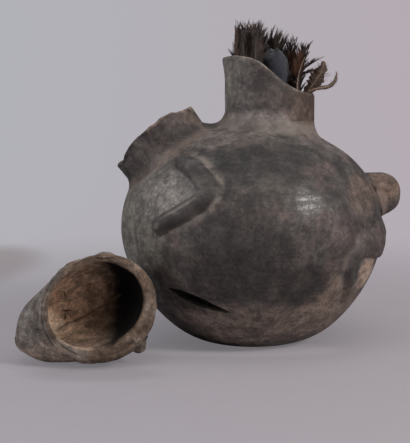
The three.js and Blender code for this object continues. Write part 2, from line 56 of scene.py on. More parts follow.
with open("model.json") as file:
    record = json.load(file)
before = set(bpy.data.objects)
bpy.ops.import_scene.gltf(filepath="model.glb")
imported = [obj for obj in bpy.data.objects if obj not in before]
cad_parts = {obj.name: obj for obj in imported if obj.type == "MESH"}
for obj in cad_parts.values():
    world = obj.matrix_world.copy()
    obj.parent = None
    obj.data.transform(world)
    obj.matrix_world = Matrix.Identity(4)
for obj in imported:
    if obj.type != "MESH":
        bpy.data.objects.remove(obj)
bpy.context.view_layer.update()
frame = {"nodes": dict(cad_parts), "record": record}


class Body(Enum):
    """The bodies that move against each other."""

    POT = "pot"
    STOPPER = "stopper"
    HEAD = "head"


class Slot(Enum):
    """The record's material slots."""

    GREY_CLAY = "grey_clay"
    BROWN_CLAY = "brown_clay"
    PALE_CLAY = "pale_clay"
    BLUE_CLOTH = "blue_cloth"
    DARK_FEATHER = "dark_feather"
    BROWN_FEATHER = "brown_feather"


class Paint(Enum):
    """Masks that a piece's own points carry, and its material reads."""

    EDGE = "edge"
    GROOVE_SHADE = "groove_shade"
    HALO = "halo"
    SOOT = "soot"
    INSIDE = "inside"
    SHAFT = "shaft"
    ALONG = "along"


# Shapes as whole arrays


def smooth(low: float, high: float, value: Array) -> Array:
    """Rises from 0 at low to 1 at high along 3t^2 - 2t^3, or falls where low is the larger."""
    t = np.clip((value - low) / (high - low), 0, 1)
    return t * t * (3 - 2 * t)


def bell(value: Array) -> Array:
    """Gives e to the power of minus the square."""
    return np.exp(-(value**2))


def turns(count: int) -> Array:
    """Gives equal steps once round, in radians."""
    return np.arange(count) / count * 2 * np.pi


def turned(radius: Array, turn: Array, height: Array) -> Array:
    """Gives points at a radius and an angle round +Z, and at a height."""
    return np.stack([radius * np.cos(turn), radius * np.sin(turn), height + 0 * turn], -1)


def catmull(knots: Sequence, at: Array) -> Array:
    """Follows a smooth curve through knots.

    Between two knots p1 and p2, with neighbours p0 and p3, the curve is half of
    2 p1 + (p2 - p0) t + (2 p0 - 5 p1 + 4 p2 - p3) t^2 + (3 p1 - p0 - 3 p2 + p3) t^3.

    Args:
        knots: the points to pass through.
        at: shares from 0 at the first knot to 1 at the last.

    Returns:
        One point for each share.
    """
    points = np.asarray(knots, float)
    points = points.reshape(len(points), -1)
    place = np.clip(at, 0, 1) * (len(points) - 1)
    i = np.minimum(place.astype(int), len(points) - 2)
    t = (place - i)[..., None]
    p0, p1, p2, p3 = (points[np.clip(i + k, 0, len(points) - 1)] for k in (-1, 0, 1, 2))
    cubic = 3 * p1 - p0 - 3 * p2 + p3
    return 0.5 * (2 * p1 + (p2 - p0) * t + (2 * p0 - 5 * p1 + 4 * p2 - p3) * t**2 + cubic * t**3)


def scatter(cells: Array, seed: int) -> Array:
    """Gives each whole-number cell a repeatable value from -1 to 1.

    The cell's three numbers are multiplied by large primes and added, and the sum's bits are
    folded over and multiplied twice.

    Args:
        cells: whole numbers, three to a cell.
        seed: picks one pattern of values.

    Returns:
        One value for each cell.
    """
    word = 0xFFFFFFFF
    mixed = ((cells * np.array([73856093, 19349663, 83492791])).sum(-1) + seed * 2654435761) & word
    for _ in range(2):
        mixed = ((mixed ^ (mixed >> 15)) * 1274126177) & word
    return (mixed ^ (mixed >> 13)) / 2**31 - 1


def noise(points: Array, size: float, seed: int, octaves: int = 1) -> Array:
    """Gives smooth noise from -1 to 1.

    A lattice of repeatable values is blended along 3t^2 - 2t^3 between the eight corners round
    each point. Each further octave is a lattice of half the spacing and half the strength.

    Args:
        points: where to read it.
        size: the first lattice's spacing.
        seed: picks one pattern.
        octaves: how many lattices are added.

    Returns:
        One value for each point.
    """
    total = np.zeros(points.shape[:-1])
    for octave in range(octaves):
        place = points / (size / 2**octave)
        cell = np.floor(place).astype(np.int64)
        t = smooth(0, 1, place - cell)
        for corner in np.ndindex(2, 2, 2):
            weight = np.where(np.array(corner, bool), t, 1 - t).prod(-1)
            total += weight * scatter(cell + np.array(corner), seed + octave) / 2**octave
    return total / (2 - 2 ** (1 - octaves))


def bumps(points: Array, height: float, size: float, seed: int, octaves: int = 1) -> Array:
    """Gives noise of a height and a size in millimetres."""
    return height * MM * noise(points, size * MM, seed, octaves)


def unit(vectors: Array) -> Array:
    """Scales vectors to length 1."""
    return vectors / np.maximum(np.linalg.norm(vectors, axis=-1, keepdims=True), 1e-12)


def normals_of(grid: Array) -> Array:
    """Gives the directions square to a grid whose columns wrap round.

    Each is the cross product of the difference along the rows and that along the columns.

    Args:
        grid: points in rows and columns.

    Returns:
        One unit vector for each point. Its side depends on the way the grid runs.
    """
    along = np.gradient(grid, axis=0)
    across = np.roll(grid, -1, axis=1) - np.roll(grid, 1, axis=1)
    return unit(np.cross(across, along))


def nearest(points: Array, path: Array) -> tuple[Array, Array]:
    """Finds how far points lie from a path's stops.

    Args:
        points: the points, in one list.
        path: the stops.

    Returns:
        Each point's distance to its nearest stop, and that stop's number.
    """
    far = np.full(len(points), np.inf)
    which = np.zeros(len(points), int)
    for i, stop in enumerate(path):
        distance = np.linalg.norm(points - stop, axis=1)
        closer = distance < far
        far[closer] = distance[closer]
        which[closer] = i
    return far, which


def length_along(path: Array) -> Array:
    """Adds up the run along a path, from 0 at its first stop."""
    return np.concatenate([[0], np.cumsum(np.linalg.norm(np.diff(path, axis=0), axis=1))])


def loop_over(shares: Array, cap: float, steps: int) -> tuple[Array, Array, Array]:
    """Gives the section of a wall's edge: up its outer face, over a rounded top, and down.

    Args:
        shares: shares of the height up a face.
        cap: the height of the rounded top.
        steps: how many points lie on it.

    Returns:
        The share across the wall, the share of the height and the rise over it, as columns.
    """
    arc = np.linspace(0, np.pi, steps + 2)[1:-1]
    flat = np.zeros(len(shares))
    across = np.concatenate([flat, (1 - np.cos(arc)) / 2, flat + 1])
    height = np.concatenate([shares, np.ones(steps), shares[::-1]])
    rise = np.concatenate([flat, cap * np.sin(arc), flat])
    return across[:, None], height[:, None], rise[:, None]


def bend(start: Array, corner: Array, end: Array, t: Array) -> Array:
    """Follows (1 - t)^2 start + 2 t (1 - t) corner + t^2 end."""
    return (1 - t) ** 2 * start + 2 * t * (1 - t) * corner + t**2 * end


@dataclass(frozen=True)
class Surface:
    """Points and the faces that join them, each given by its points' numbers."""

    points: Array
    quads: Array
    triangles: Array

    def turned_over(self) -> "Surface":
        """Gives the same surface with its faces looking the other way."""
        return Surface(self.points, self.quads[:, ::-1], self.triangles[:, ::-1])

    def outward(self) -> "Surface":
        """Turns the faces to look out, by the sum of the signed volumes under every triangle.

        Returns:
            The surface, turned over if that sum is below 0.
        """
        halves = [self.quads[:, [0, 1, 2]], self.quads[:, [0, 2, 3]], self.triangles]
        a, b, c = (self.points[np.vstack(halves)[:, k]] for k in range(3))
        return self if np.einsum("ij,ij->i", a, np.cross(b, c)).sum() > 0 else self.turned_over()


def grid_quads(rows: int, columns: int, ring: bool) -> Array:
    """Lists the quads of a grid whose columns wrap round.

    Args:
        rows: how many rows of points.
        columns: how many points in a row.
        ring: whether the last row joins the first.

    Returns:
        Four point numbers for each quad.
    """
    row, column = np.meshgrid(np.arange(rows if ring else rows - 1), np.arange(columns), indexing="ij")
    row, above = row * columns, (row + 1) % rows * columns
    after = (column + 1) % columns
    return np.stack([row + column, row + after, above + after, above + column], -1).reshape(-1, 4)


def open_surface(grid: Array, ring: bool = False) -> Surface:
    """Joins a grid's points round its columns, and its last row to its first for a ring."""
    return Surface(grid.reshape(-1, 3), grid_quads(*grid.shape[:2], ring), np.zeros((0, 3), int))


def capped_surface(grid: Array) -> Surface:
    """Closes a stack of rings with a fan of triangles to a middle point at each end.

    Args:
        grid: points as ring and place round it.

    Returns:
        The surface. Its last two points are the middle ones.
    """
    rows, columns = grid.shape[:2]
    points = np.vstack([grid.reshape(-1, 3), grid[0].mean(0), grid[-1].mean(0)])
    here = np.arange(columns)
    after = (here + 1) % columns
    last = (rows - 1) * columns
    first_fan = np.stack([after, here, np.full(columns, rows * columns)], -1)
    last_fan = np.stack([last + here, last + after, np.full(columns, rows * columns + 1)], -1)
    return Surface(points, grid_quads(rows, columns, False), np.vstack([first_fan, last_fan])).outward()


def tubes(lines: Array, radii: Array, sides: int) -> Surface:
    """Carries a ring along each of many lines, and closes each end with a fan.

    At every stop the ring lies square to the line, across two directions: the cross product
    of the line's run with +Y, and the cross product of that with the run.

    Args:
        lines: points as line, stop.
        radii: the ring's radius at each stop of each line.
        sides: how many points a ring has.

    Returns:
        One surface with every tube in it.
    """
    run = unit(np.gradient(lines, axis=1))
    first = unit(np.cross(run, np.array([0.05, 1.0, 0.1])))
    second = np.cross(run, first)
    turn = turns(sides)[:, None]
    ring = first[:, :, None] * np.cos(turn) + second[:, :, None] * np.sin(turn)
    grids = lines[:, :, None] + ring * radii[:, :, None, None]
    one = capped_surface(grids[0])
    ends = np.stack([grids[:, 0].mean(1), grids[:, -1].mean(1)], 1)
    points = np.concatenate([grids.reshape(len(grids), -1, 3), ends], 1)
    start = (np.arange(len(grids)) * points.shape[1])[:, None, None]
    quads, triangles = (one.quads + start).reshape(-1, 4), (one.triangles + start).reshape(-1, 3)
    return Surface(points.reshape(-1, 3), quads, triangles)


def joined(*surfaces: Surface) -> Surface:
    """Puts several surfaces into one.

    Args:
        surfaces: the surfaces.

    Returns:
        One surface, with their points in the same order.
    """
    starts = np.cumsum([0] + [len(s.points) for s in surfaces[:-1]])
    quads = [s.quads + start for s, start in zip(surfaces, starts)]
    triangles = [s.triangles + start for s, start in zip(surfaces, starts)]
    return Surface(np.vstack([s.points for s in surfaces]), np.vstack(quads), np.vstack(triangles))


def mesh_object(name: str, surface: Surface) -> Piece:
    """Makes a mesh object of a surface.

    Args:
        name: the object's name.
        surface: the surface.

    Returns:
        The object, in the scene.
    """
    mesh = bpy.data.meshes.new(name)
    faces = [*surface.quads.tolist(), *surface.triangles.tolist()]
    mesh.from_pydata(surface.points.tolist(), [], faces, shade_flat=False)
    mesh.validate()
    piece = bpy.data.objects.new(name, mesh)
    bpy.context.scene.collection.objects.link(piece)
    return piece


def points_of(piece: Piece) -> Array:
    """Reads a mesh's points.

    Args:
        piece: the object that holds the mesh.

    Returns:
        One row for each point.
    """
    flat = np.zeros(len(piece.data.vertices) * 3, np.float32)
    piece.data.vertices.foreach_get("co", flat)
    return flat.reshape(-1, 3).astype(float)


def cut(piece: Piece, surface: Surface) -> None:
    """Takes a closed surface's space out of a piece.

    Args:
        piece: the piece.
        surface: the surface.
    """
    tool = mesh_object("cutter", surface)
    modifier = piece.modifiers.new("cut", "BOOLEAN")
    modifier.operation = "DIFFERENCE"
    modifier.solver = "MANIFOLD"
    modifier.object = tool
    graph = bpy.context.evaluated_depsgraph_get()
    mesh = bpy.data.meshes.new_from_object(piece.evaluated_get(graph))
    piece.modifiers.clear()
    piece.data = mesh
    bpy.data.objects.remove(tool)


@dataclass(frozen=True)
class Dress:
    """What a piece wears, and the body that it rides on."""

    material: Material
    body: Body
    slot: Slot

    def put_on(self, piece: Piece, nodes: Sequence[str], masks: dict, crease: float = 50) -> None:
        """Paints and shades a piece, and sets it in the place of its nodes.

        Args:
            piece: the piece.
            nodes: the nodes that it stands for.
            masks: values for each point, by the mask that they belong to.
            crease: edges that turn more than this many degrees are shaded sharp.
        """
        mesh = piece.data
        for mask, values in masks.items():
            attribute = mesh.attributes.new(mask.value, "FLOAT", "POINT")
            attribute.data.foreach_set("value", np.asarray(values, np.float32).ravel())
        mesh.polygons.foreach_set("use_smooth", np.ones(len(mesh.polygons), bool))
        mesh.set_sharp_from_angle(angle=math.radians(crease))
        mesh.materials.clear()
        mesh.materials.append(self.material)
        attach(piece, self.body.value)
        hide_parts(*nodes)
        low = np.min([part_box(n)[0] for n in nodes], axis=0)
        high = np.max([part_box(n)[1] for n in nodes], axis=0)
        points = points_of(piece)
        proud = max((low - points.min(0)).max(), (points.max(0) - high).max()) / MM
        log.info("%s: %d faces, %.1f mm outside its nodes' box", piece.name, len(mesh.polygons), proud)




# Materials


class Tree:
    """Adds nodes to a material or a group, and joins them as they are added."""

    def __init__(self, tree: Group) -> None:
        """Takes the node tree to add to."""
        self.tree = tree

    def feed(self, node: Node, sockets: dict) -> Node:
        """Sets a node's inputs.

        Args:
            node: the node.
            sockets: values or outputs of other nodes, by input name or number.

        Returns:
            The same node.
        """
        for name, value in sockets.items():
            if isinstance(value, Output):
                self.tree.links.new(value, node.inputs[name])
            else:
                node.inputs[name].default_value = value
        return node

    def add(self, kind: str, sockets: dict | None = None, **settings: object) -> Node:
        """Adds one shader node.

        Args:
            kind: the node's type, after ShaderNode.
            sockets: as for feed.
            settings: the node's own options.

        Returns:
            The node.
        """
        node = self.tree.nodes.new("ShaderNode" + kind)
        for name, value in settings.items():
            setattr(node, name, value)
        return self.feed(node, sockets or {})

    def place(self, group: Group, sockets: dict) -> Node:
        """Places a node group."""
        return self.add("Group", sockets, node_tree=group)

    def maths(self, operation: str, a: object, b: object = 0.0, clamp: bool = False) -> Output:
        """Works out one number from two."""
        return self.add("Math", {0: a, 1: b}, operation=operation, use_clamp=clamp).outputs[0]

    def times(self, a: object, b: object) -> Output:
        """Multiplies two numbers."""
        return self.maths("MULTIPLY", a, b)

    def plus(self, a: object, b: object, clamp: bool = False) -> Output:
        """Adds two numbers."""
        return self.maths("ADD", a, b, clamp)

    def vectors(self, operation: str, a: object, b: object = (0, 0, 0)) -> Output:
        """Works out one vector from two."""
        return self.add("VectorMath", {0: a, 1: b}, operation=operation).outputs[0]

    def length(self, vector: object) -> Output:
        """Gives a vector's length."""
        return self.add("VectorMath", {0: vector}, operation="LENGTH").outputs["Value"]

    def parts(self, vector: object) -> Sequence[Output]:
        """Gives a vector's three numbers."""
        return self.add("SeparateXYZ", {0: vector}).outputs

    def spread(self, value: object, low: object, high: object, to: Pair = (0, 1)) -> Output:
        """Eases a value from a range to another one, held at its ends."""
        sockets = {0: value, 1: low, 2: high, 3: to[0], 4: to[1]}
        return self.add("MapRange", sockets, interpolation_type="SMOOTHSTEP").outputs[0]

    def mixed(self, share: object, a: object, b: object, blend: str = "MIX") -> Output:
        """Mixes two colours, plain or with a blend."""
        sockets = {0: share} | {k: x if isinstance(x, Output) else (*x, 1) for k, x in ((6, a), (7, b))}
        return self.add("Mix", sockets, data_type="RGBA", blend_type=blend).outputs[2]

    def shaded(self, colour: object, grey: object) -> Output:
        """Multiplies a colour by a number."""
        grey = self.add("CombineColor", {0: grey, 1: grey, 2: grey}).outputs[0]
        return self.mixed(1.0, colour, grey, "MULTIPLY")

    def noise(
        self, vector: object, size: object, detail: float = 4, rough: float = 0.55, swirl: float = 0,
    ) -> Output:
        """Adds noise that lies round 0.5.

        Args:
            vector: where to read it.
            size: its size, a number or an output.
            detail: how many finer noises it holds.
            rough: how strong they are.
            swirl: how much it is stirred.

        Returns:
            The noise.
        """
        scale = self.maths("DIVIDE", 1.0, size) if isinstance(size, Output) else 1 / size
        sockets = {"Vector": vector, "Scale": scale, "Detail": detail, "Roughness": rough}
        return self.add("TexNoise", sockets | {"Distortion": swirl}).outputs["Fac"]

    def own_place(self) -> Output:
        """Gives the place on the piece, in the piece's own frame."""
        return self.add("TexCoord").outputs["Object"]

    def mask(self, name: Paint) -> Output:
        """Reads one of the piece's own masks."""
        return self.add("Attribute", attribute_name=name.value).outputs["Fac"]

    def bump(self, shader: Node, height: object, strength: float, distance: float) -> None:
        """Gives a shader bumps of a height."""
        bump = self.add("Bump", {"Height": height, "Strength": strength, "Distance": distance})
        self.feed(shader, {"Normal": bump.outputs[0]})


def new_group(name: str, inputs: dict[str, str], *outputs: str) -> tuple[Tree, dict, Node]:
    """Starts a node group.

    Args:
        name: the group's name.
        inputs: the kind of each named input: Float, Vector or Color.
        outputs: names of its outputs, which are numbers.

    Returns:
        The tree to add to, its inputs by name, and the node that takes its outputs.
    """
    group = bpy.data.node_groups.new(name, "ShaderNodeTree")
    for socket, kind in inputs.items():
        group.interface.new_socket(socket, in_out="INPUT", socket_type=f"NodeSocket{kind}")
    for socket in outputs:
        group.interface.new_socket(socket, in_out="OUTPUT", socket_type="NodeSocketFloat")
    start = group.nodes.new("NodeGroupInput")
    return Tree(group), {s: start.outputs[s] for s in inputs}, group.nodes.new("NodeGroupOutput")


def mottle_group() -> Group:
    """Smoke clouds: swirling noise, cut off softly below Low and above High.

    Returns:
        The group.
    """
    inputs = {"Vector": "Vector", "Size": "Float", "Low": "Float", "High": "Float"}
    tree, given, result = new_group("smoke clouds", inputs, "Mask")
    clouds = tree.noise(given["Vector"], given["Size"], 7, 0.62, 0.5)
    tree.feed(result, {"Mask": tree.spread(clouds, given["Low"], given["High"])})
    return tree.tree


def strokes_group() -> Group:
    """Marks of a smoothing stone: noise drawn out along the turn of the wall.

    The point's turn about +Z, times Radius, gives the run round the wall. Noise is read at that
    run over Length and at the height over Width.

    Returns:
        The group.
    """
    inputs = {"Vector": "Vector", "Radius": "Float", "Length": "Float", "Width": "Float"}
    tree, given, result = new_group("smoothing strokes", inputs, "Mask")
    x, y, z = tree.parts(given["Vector"])
    run = tree.maths("DIVIDE", tree.times(tree.maths("ARCTAN2", y, x), given["Radius"]), given["Length"])
    rise = tree.plus(tree.maths("DIVIDE", z, given["Width"]), tree.noise(given["Vector"], 30 * MM, 2))
    flat = tree.add("CombineXYZ", {0: run, 1: rise}).outputs[0]
    tree.feed(result, {"Mask": tree.noise(flat, 1.0, 3.0, 0.5)})
    return tree.tree


def grit_group() -> Group:
    """Sand in the clay: small round spots of a Size, of which Share show, and fine roughness.

    Returns:
        The group.
    """
    inputs = {"Vector": "Vector", "Size": "Float", "Share": "Float"}
    tree, given, result = new_group("sand grains", inputs, "Spots", "Fine")
    scale = tree.maths("DIVIDE", 1.0, given["Size"])
    cells = tree.add("TexVoronoi", {"Vector": given["Vector"], "Scale": scale})
    chance = tree.add("SeparateColor", {0: cells.outputs["Color"]}).outputs[0]
    chosen = tree.maths("LESS_THAN", chance, given["Share"])
    round_spots = tree.spread(cells.outputs["Distance"], 0.32, 0.12)
    fine = tree.noise(given["Vector"], given["Size"], 5, 0.65)
    tree.feed(result, {"Spots": tree.times(chosen, round_spots), "Fine": fine})
    return tree.tree


def patch_group() -> Group:
    """A patch: 1 at Centre, falling to 0 past Reach along each axis, with an edge moved by Fray.

    Returns:
        The group.
    """
    inputs = {"Vector": "Vector", "Centre": "Vector", "Reach": "Vector", "Fray": "Float", "Strength": "Float"}
    tree, given, result = new_group("patch", inputs, "Mask")
    off = tree.vectors("DIVIDE", tree.vectors("SUBTRACT", given["Vector"], given["Centre"]), given["Reach"])
    mask = tree.spread(tree.plus(tree.length(off), given["Fray"]), 1.15, 0.55)
    tree.feed(result, {"Mask": tree.times(mask, given["Strength"])})
    return tree.tree


def weave_group() -> Group:
    """Plain weave: two sets of threads, each the height of a sine, crossing over and under.

    Returns:
        The group.
    """
    tree, given, result = new_group("plain weave", {"UV": "Vector", "Thread": "Float"}, "Height")
    waves = []
    for axis in tree.parts(given["UV"])[:2]:
        waves.append(tree.maths("SINE", tree.maths("DIVIDE", tree.times(axis, math.pi), given["Thread"])))
    crown = tree.plus(*(tree.maths("ABSOLUTE", wave) for wave in waves))
    tree.feed(result, {"Height": tree.plus(tree.times(tree.times(*waves), 0.5), tree.times(crown, 0.35))})
    return tree.tree


def srgb(red: int, green: int, blue: int) -> Colour:
    """Turns a screen colour of 0 to 255 into the linear one that a shader takes."""
    shares = (red / 255, green / 255, blue / 255)
    return tuple(c / 12.92 if c <= 0.04045 else ((c + 0.055) / 1.055) ** 2.4 for c in shares)


def dimmed(colour: Colour, share: float) -> Colour:
    """Gives a share of a colour."""
    return tuple(share * c for c in colour)


@dataclass(frozen=True)
class Patch:
    """A cloud of another colour: middle and reach in millimetres, and a screen colour."""

    centre: Place
    reach: Place
    colour: Colour
    strength: float = 1.0
    fray: float = 1.0


@dataclass(frozen=True)
class Groups:
    """The effects that several materials use."""

    mottle: Group
    strokes: Group
    grit: Group
    patch: Group
    weave: Group

    @staticmethod
    def build() -> "Groups":
        """Makes each group once."""
        return Groups(mottle_group(), strokes_group(), grit_group(), patch_group(), weave_group())

    def clouds(self, tree: Tree, vector: Output, size: float, low: float, high: float) -> Output:
        """Places smoke clouds."""
        return tree.place(self.mottle, {"Vector": vector, "Size": size, "Low": low, "High": high}).outputs[0]

    def share(self, tree: Tree, vector: Output, patch: Patch, fray: object = 0.0) -> Output:
        """Places a patch.

        Args:
            tree: the tree to add to.
            vector: where to read it.
            patch: the patch.
            fray: how far its edge is moved.

        Returns:
            How strongly it covers.
        """
        sockets = {"Vector": vector, "Centre": dimmed(patch.centre, MM), "Reach": dimmed(patch.reach, MM)}
        sockets |= {"Fray": tree.times(fray, patch.fray), "Strength": patch.strength}
        return tree.place(self.patch, sockets).outputs[0]

    def covered(
        self, tree: Tree, vector: Output, colour: object, patches: Sequence[Patch],
        fray: object = 0.0, grain: object = 1.0,
    ) -> Output:
        """Lays patches over a colour.

        Args:
            tree: the tree to add to.
            vector: where to read them.
            colour: the colour under them.
            patches: the patches.
            fray: how far their edges are moved.
            grain: how strongly all of them cover.

        Returns:
            The colour with the patches on it.
        """
        for patch in patches:
            share = tree.times(self.share(tree, vector, patch, fray), grain)
            colour = tree.mixed(share, colour, srgb(*patch.colour))
        return colour


def new_material(name: str) -> tuple[Material, Tree, Node]:
    """Starts a material with a Principled BSDF.

    Args:
        name: the material's name.

    Returns:
        The material, its tree and the Principled BSDF.
    """
    material = bpy.data.materials.new(name)
    material.use_nodes = True
    return material, Tree(material.node_tree), material.node_tree.nodes["Principled BSDF"]


@dataclass(frozen=True)
class ClayFinish:
    """Low-fired clay: smoke clouds over the body colour, smoothing strokes, sand, patches and wear, with
    painted light and shade in some patches, painted shade in seams and cracks, and painted highlights along
    some crests.
    """

    name: str
    body: Colour
    smoke: Colour
    warm: Colour
    cool: Colour
    worn: Colour
    inner: Colour
    inner_stain: Colour
    strokes: float = 1.0
    relief: float = 0.34 * MM
    rough: Pair = (0.46, 0.68)
    specular: float = 0.45
    patches: tuple[Patch, ...] = ()
    inner_patches_and_painted_light: tuple[Patch, ...] = ()
    polished: tuple[Patch, ...] = ()

    def material(self, groups: Groups) -> Material:
        """Builds the material.

        Args:
            groups: the effects to use.

        Returns:
            The material.
        """
        material, tree, shader = new_material(self.name)
        vector = tree.own_place()
        edge, groove_shade, halo, soot, inside = (
            tree.mask(m) for m in (Paint.EDGE, Paint.GROOVE_SHADE, Paint.HALO, Paint.SOOT, Paint.INSIDE))
        smoke = groups.clouds(tree, vector, 46 * MM, 0.40, 0.62)
        blots = groups.clouds(tree, vector, 14 * MM, 0.36, 0.66)
        specks = groups.clouds(tree, vector, 4.5 * MM, 0.34, 0.68)
        strokes = tree.place(groups.strokes, {
            "Vector": vector, "Radius": 110 * MM, "Length": 22 * MM, "Width": 3.2 * MM}).outputs[0]
        spots, fine = tree.place(groups.grit, {"Vector": vector, "Size": 2.0 * MM, "Share": 0.12}).outputs
        fray = tree.times(tree.maths("SUBTRACT", tree.noise(vector, 17 * MM, 6, 0.65), 0.5), 1.4)
        hue = tree.noise(tree.vectors("ADD", vector, (1.7, 0.4, 2.3)), 30 * MM, 6, 0.62)

        colour = tree.mixed(smoke, self.smoke, self.body)
        colour = tree.mixed(tree.spread(hue, 0.52, 0.66, (0, 0.65)), colour, self.warm)
        colour = tree.mixed(tree.spread(hue, 0.47, 0.34, (0, 0.7)), colour, self.cool)
        # Some of these patches are painted light and shade
        colour = groups.covered(tree, vector, colour, self.patches, fray)
        drawn = (1 - 0.05 * self.strokes, 1 + 0.05 * self.strokes)
        grey = tree.spread(blots, 0.0, 1.0, (0.66, 1.26))
        grey = tree.times(grey, tree.spread(specks, 0.0, 1.0, (0.76, 1.21)))
        grey = tree.times(grey, tree.spread(strokes, 0.30, 0.70, drawn))
        grey = tree.times(grey, tree.spread(fine, 0.3, 0.7, (0.78, 1.21)))
        colour = tree.shaded(colour, grey)
        patchy = tree.spread(tree.plus(blots, fray), -0.3, 0.6)
        # Paler clay, with painted highlights on the forelegs' crests and the coil's ridge
        colour = tree.mixed(tree.times(halo, patchy), colour, self.worn)
        burnt = tree.mixed(blots, dimmed(self.smoke, 0.6), dimmed(self.smoke, 1.15))
        colour = tree.mixed(tree.times(soot, tree.spread(hue, 0.35, 0.60, (0.68, 0.95))), colour, burnt)
        # Painted shade in the seams beside the limbs, along the crack and round the thumb mark
        colour = tree.mixed(tree.times(groove_shade, 0.7), colour, dimmed(self.smoke, 0.4))
        colour = tree.mixed(tree.times(spots, 0.22), colour, self.worn)
        stain = tree.spread(tree.noise(vector, 11 * MM, 6, 0.65), 0.40, 0.60)
        raw = tree.mixed(stain, self.inner_stain, self.inner)
        # The hollow's patches paint light and shade on its walls, besides its specks
        raw = tree.shaded(groups.covered(tree, vector, raw, self.inner_patches_and_painted_light, fray), grey)
        # Painted shade along the crack in the hollow
        raw = tree.mixed(groove_shade, raw, dimmed(self.inner_stain, 0.25))
        colour = tree.mixed(inside, colour, raw)
        worn = tree.spread(tree.plus(edge, tree.times(fray, 0.6)), 0.35, 0.85, (0, 0.85))
        colour = tree.mixed(worn, colour, tree.shaded(self.worn, grey))

        matt = tree.maths("MAXIMUM", worn, inside)
        burnish = tree.times(tree.spread(strokes, 0.3, 0.7), tree.spread(specks, 0.0, 1.0, (0.5, 1)))
        rough = tree.spread(burnish, 0.0, 1.0, (self.rough[1], self.rough[0]))
        rough = tree.plus(rough, tree.times(matt, 0.3))
        for patch in self.polished:
            rough = tree.plus(rough, tree.times(groups.share(tree, vector, patch, fray), -0.24))
        rough = tree.plus(rough, 0.0, clamp=True)
        tree.feed(shader, {"Base Color": colour, "Roughness": rough, "Specular IOR Level": self.specular})

        relief = tree.plus(tree.times(fine, 0.8), tree.times(spots, -0.8))
        relief = tree.plus(relief, tree.times(strokes, 0.35 * self.strokes))
        relief = tree.plus(relief, tree.times(tree.noise(vector, 6 * MM, 5), 1.3))
        coarse = tree.times(tree.noise(vector, 3.5 * MM, 6, 0.7), tree.times(matt, 2.4))
        tree.bump(shader, tree.plus(relief, coarse), 0.8, self.relief)
        return material


@dataclass(frozen=True)
class FeatherFinish:
    """A feather: dark barbs that pale towards their ends, on a horny shaft, with painted highlights."""

    name: str
    barb: Colour
    barb_end: Colour
    shaft: Colour
    painted_glints: tuple[Patch, ...] = ()

    def material(self, groups: Groups) -> Material:
        """Builds the material.

        Args:
            groups: the effects to use.

        Returns:
            The material.
        """
        material, tree, shader = new_material(self.name)
        vector = tree.own_place()
        shaft, along = tree.mask(Paint.SHAFT), tree.mask(Paint.ALONG)
        clouds = groups.clouds(tree, vector, 13 * MM, 0.40, 0.62)
        fine = tree.noise(vector, 1.6 * MM, 3)
        share = tree.times(clouds, tree.spread(along, 0.1, 1.0, (0.25, 0.9)))
        colour = tree.mixed(share, self.barb, self.barb_end)
        # Painted highlights over the barbs
        colour = groups.covered(tree, vector, colour, self.painted_glints, 0.0, fine)
        horn = tree.mixed(tree.spread(fine, 0.35, 0.65), self.shaft, dimmed(self.shaft, 0.55))
        rough = tree.plus(tree.spread(shaft, 0.0, 1.0, (0.58, 0.36)), tree.times(fine, 0.12))
        tree.feed(shader, {
            "Base Color": tree.mixed(shaft, colour, horn), "Roughness": rough, "Specular IOR Level": 0.35})
        tree.bump(shader, fine, 0.4, 0.12 * MM)
        return material


@dataclass(frozen=True)
class ClothFinish:
    """Dusty plain-woven cotton, faded along its creases."""

    name: str
    dye: Colour
    faded: Colour
    dust: Colour
    thread: float

    def material(self, groups: Groups) -> Material:
        """Builds the material.

        Args:
            groups: the effects to use.

        Returns:
            The material.
        """
        material, tree, shader = new_material(self.name)
        vector = tree.own_place()
        uv = tree.add("UVMap", uv_map="weave").outputs[0]
        weave = tree.place(groups.weave, {"UV": uv, "Thread": self.thread}).outputs[0]
        clouds = groups.clouds(tree, vector, 9 * MM, 0.40, 0.64)
        colour = tree.mixed(clouds, self.dye, self.faded)
        colour = tree.mixed(tree.times(tree.mask(Paint.EDGE), 0.3), colour, self.faded)
        dusty = tree.spread(tree.noise(vector, 3 * MM, 6), 0.56, 0.72, (0, 0.5))
        colour = tree.mixed(dusty, colour, self.dust)
        tree.feed(shader, {
            "Base Color": tree.shaded(colour, tree.spread(weave, -0.1, 0.9, (0.78, 1.08))),
            "Roughness": tree.spread(clouds, 0.0, 1.0, (0.86, 0.95)),
            "Sheen Weight": 0.25, "Sheen Roughness": 0.6, "Specular IOR Level": 0.2})
        tree.bump(shader, weave, 0.7, 0.25 * MM)
        return material


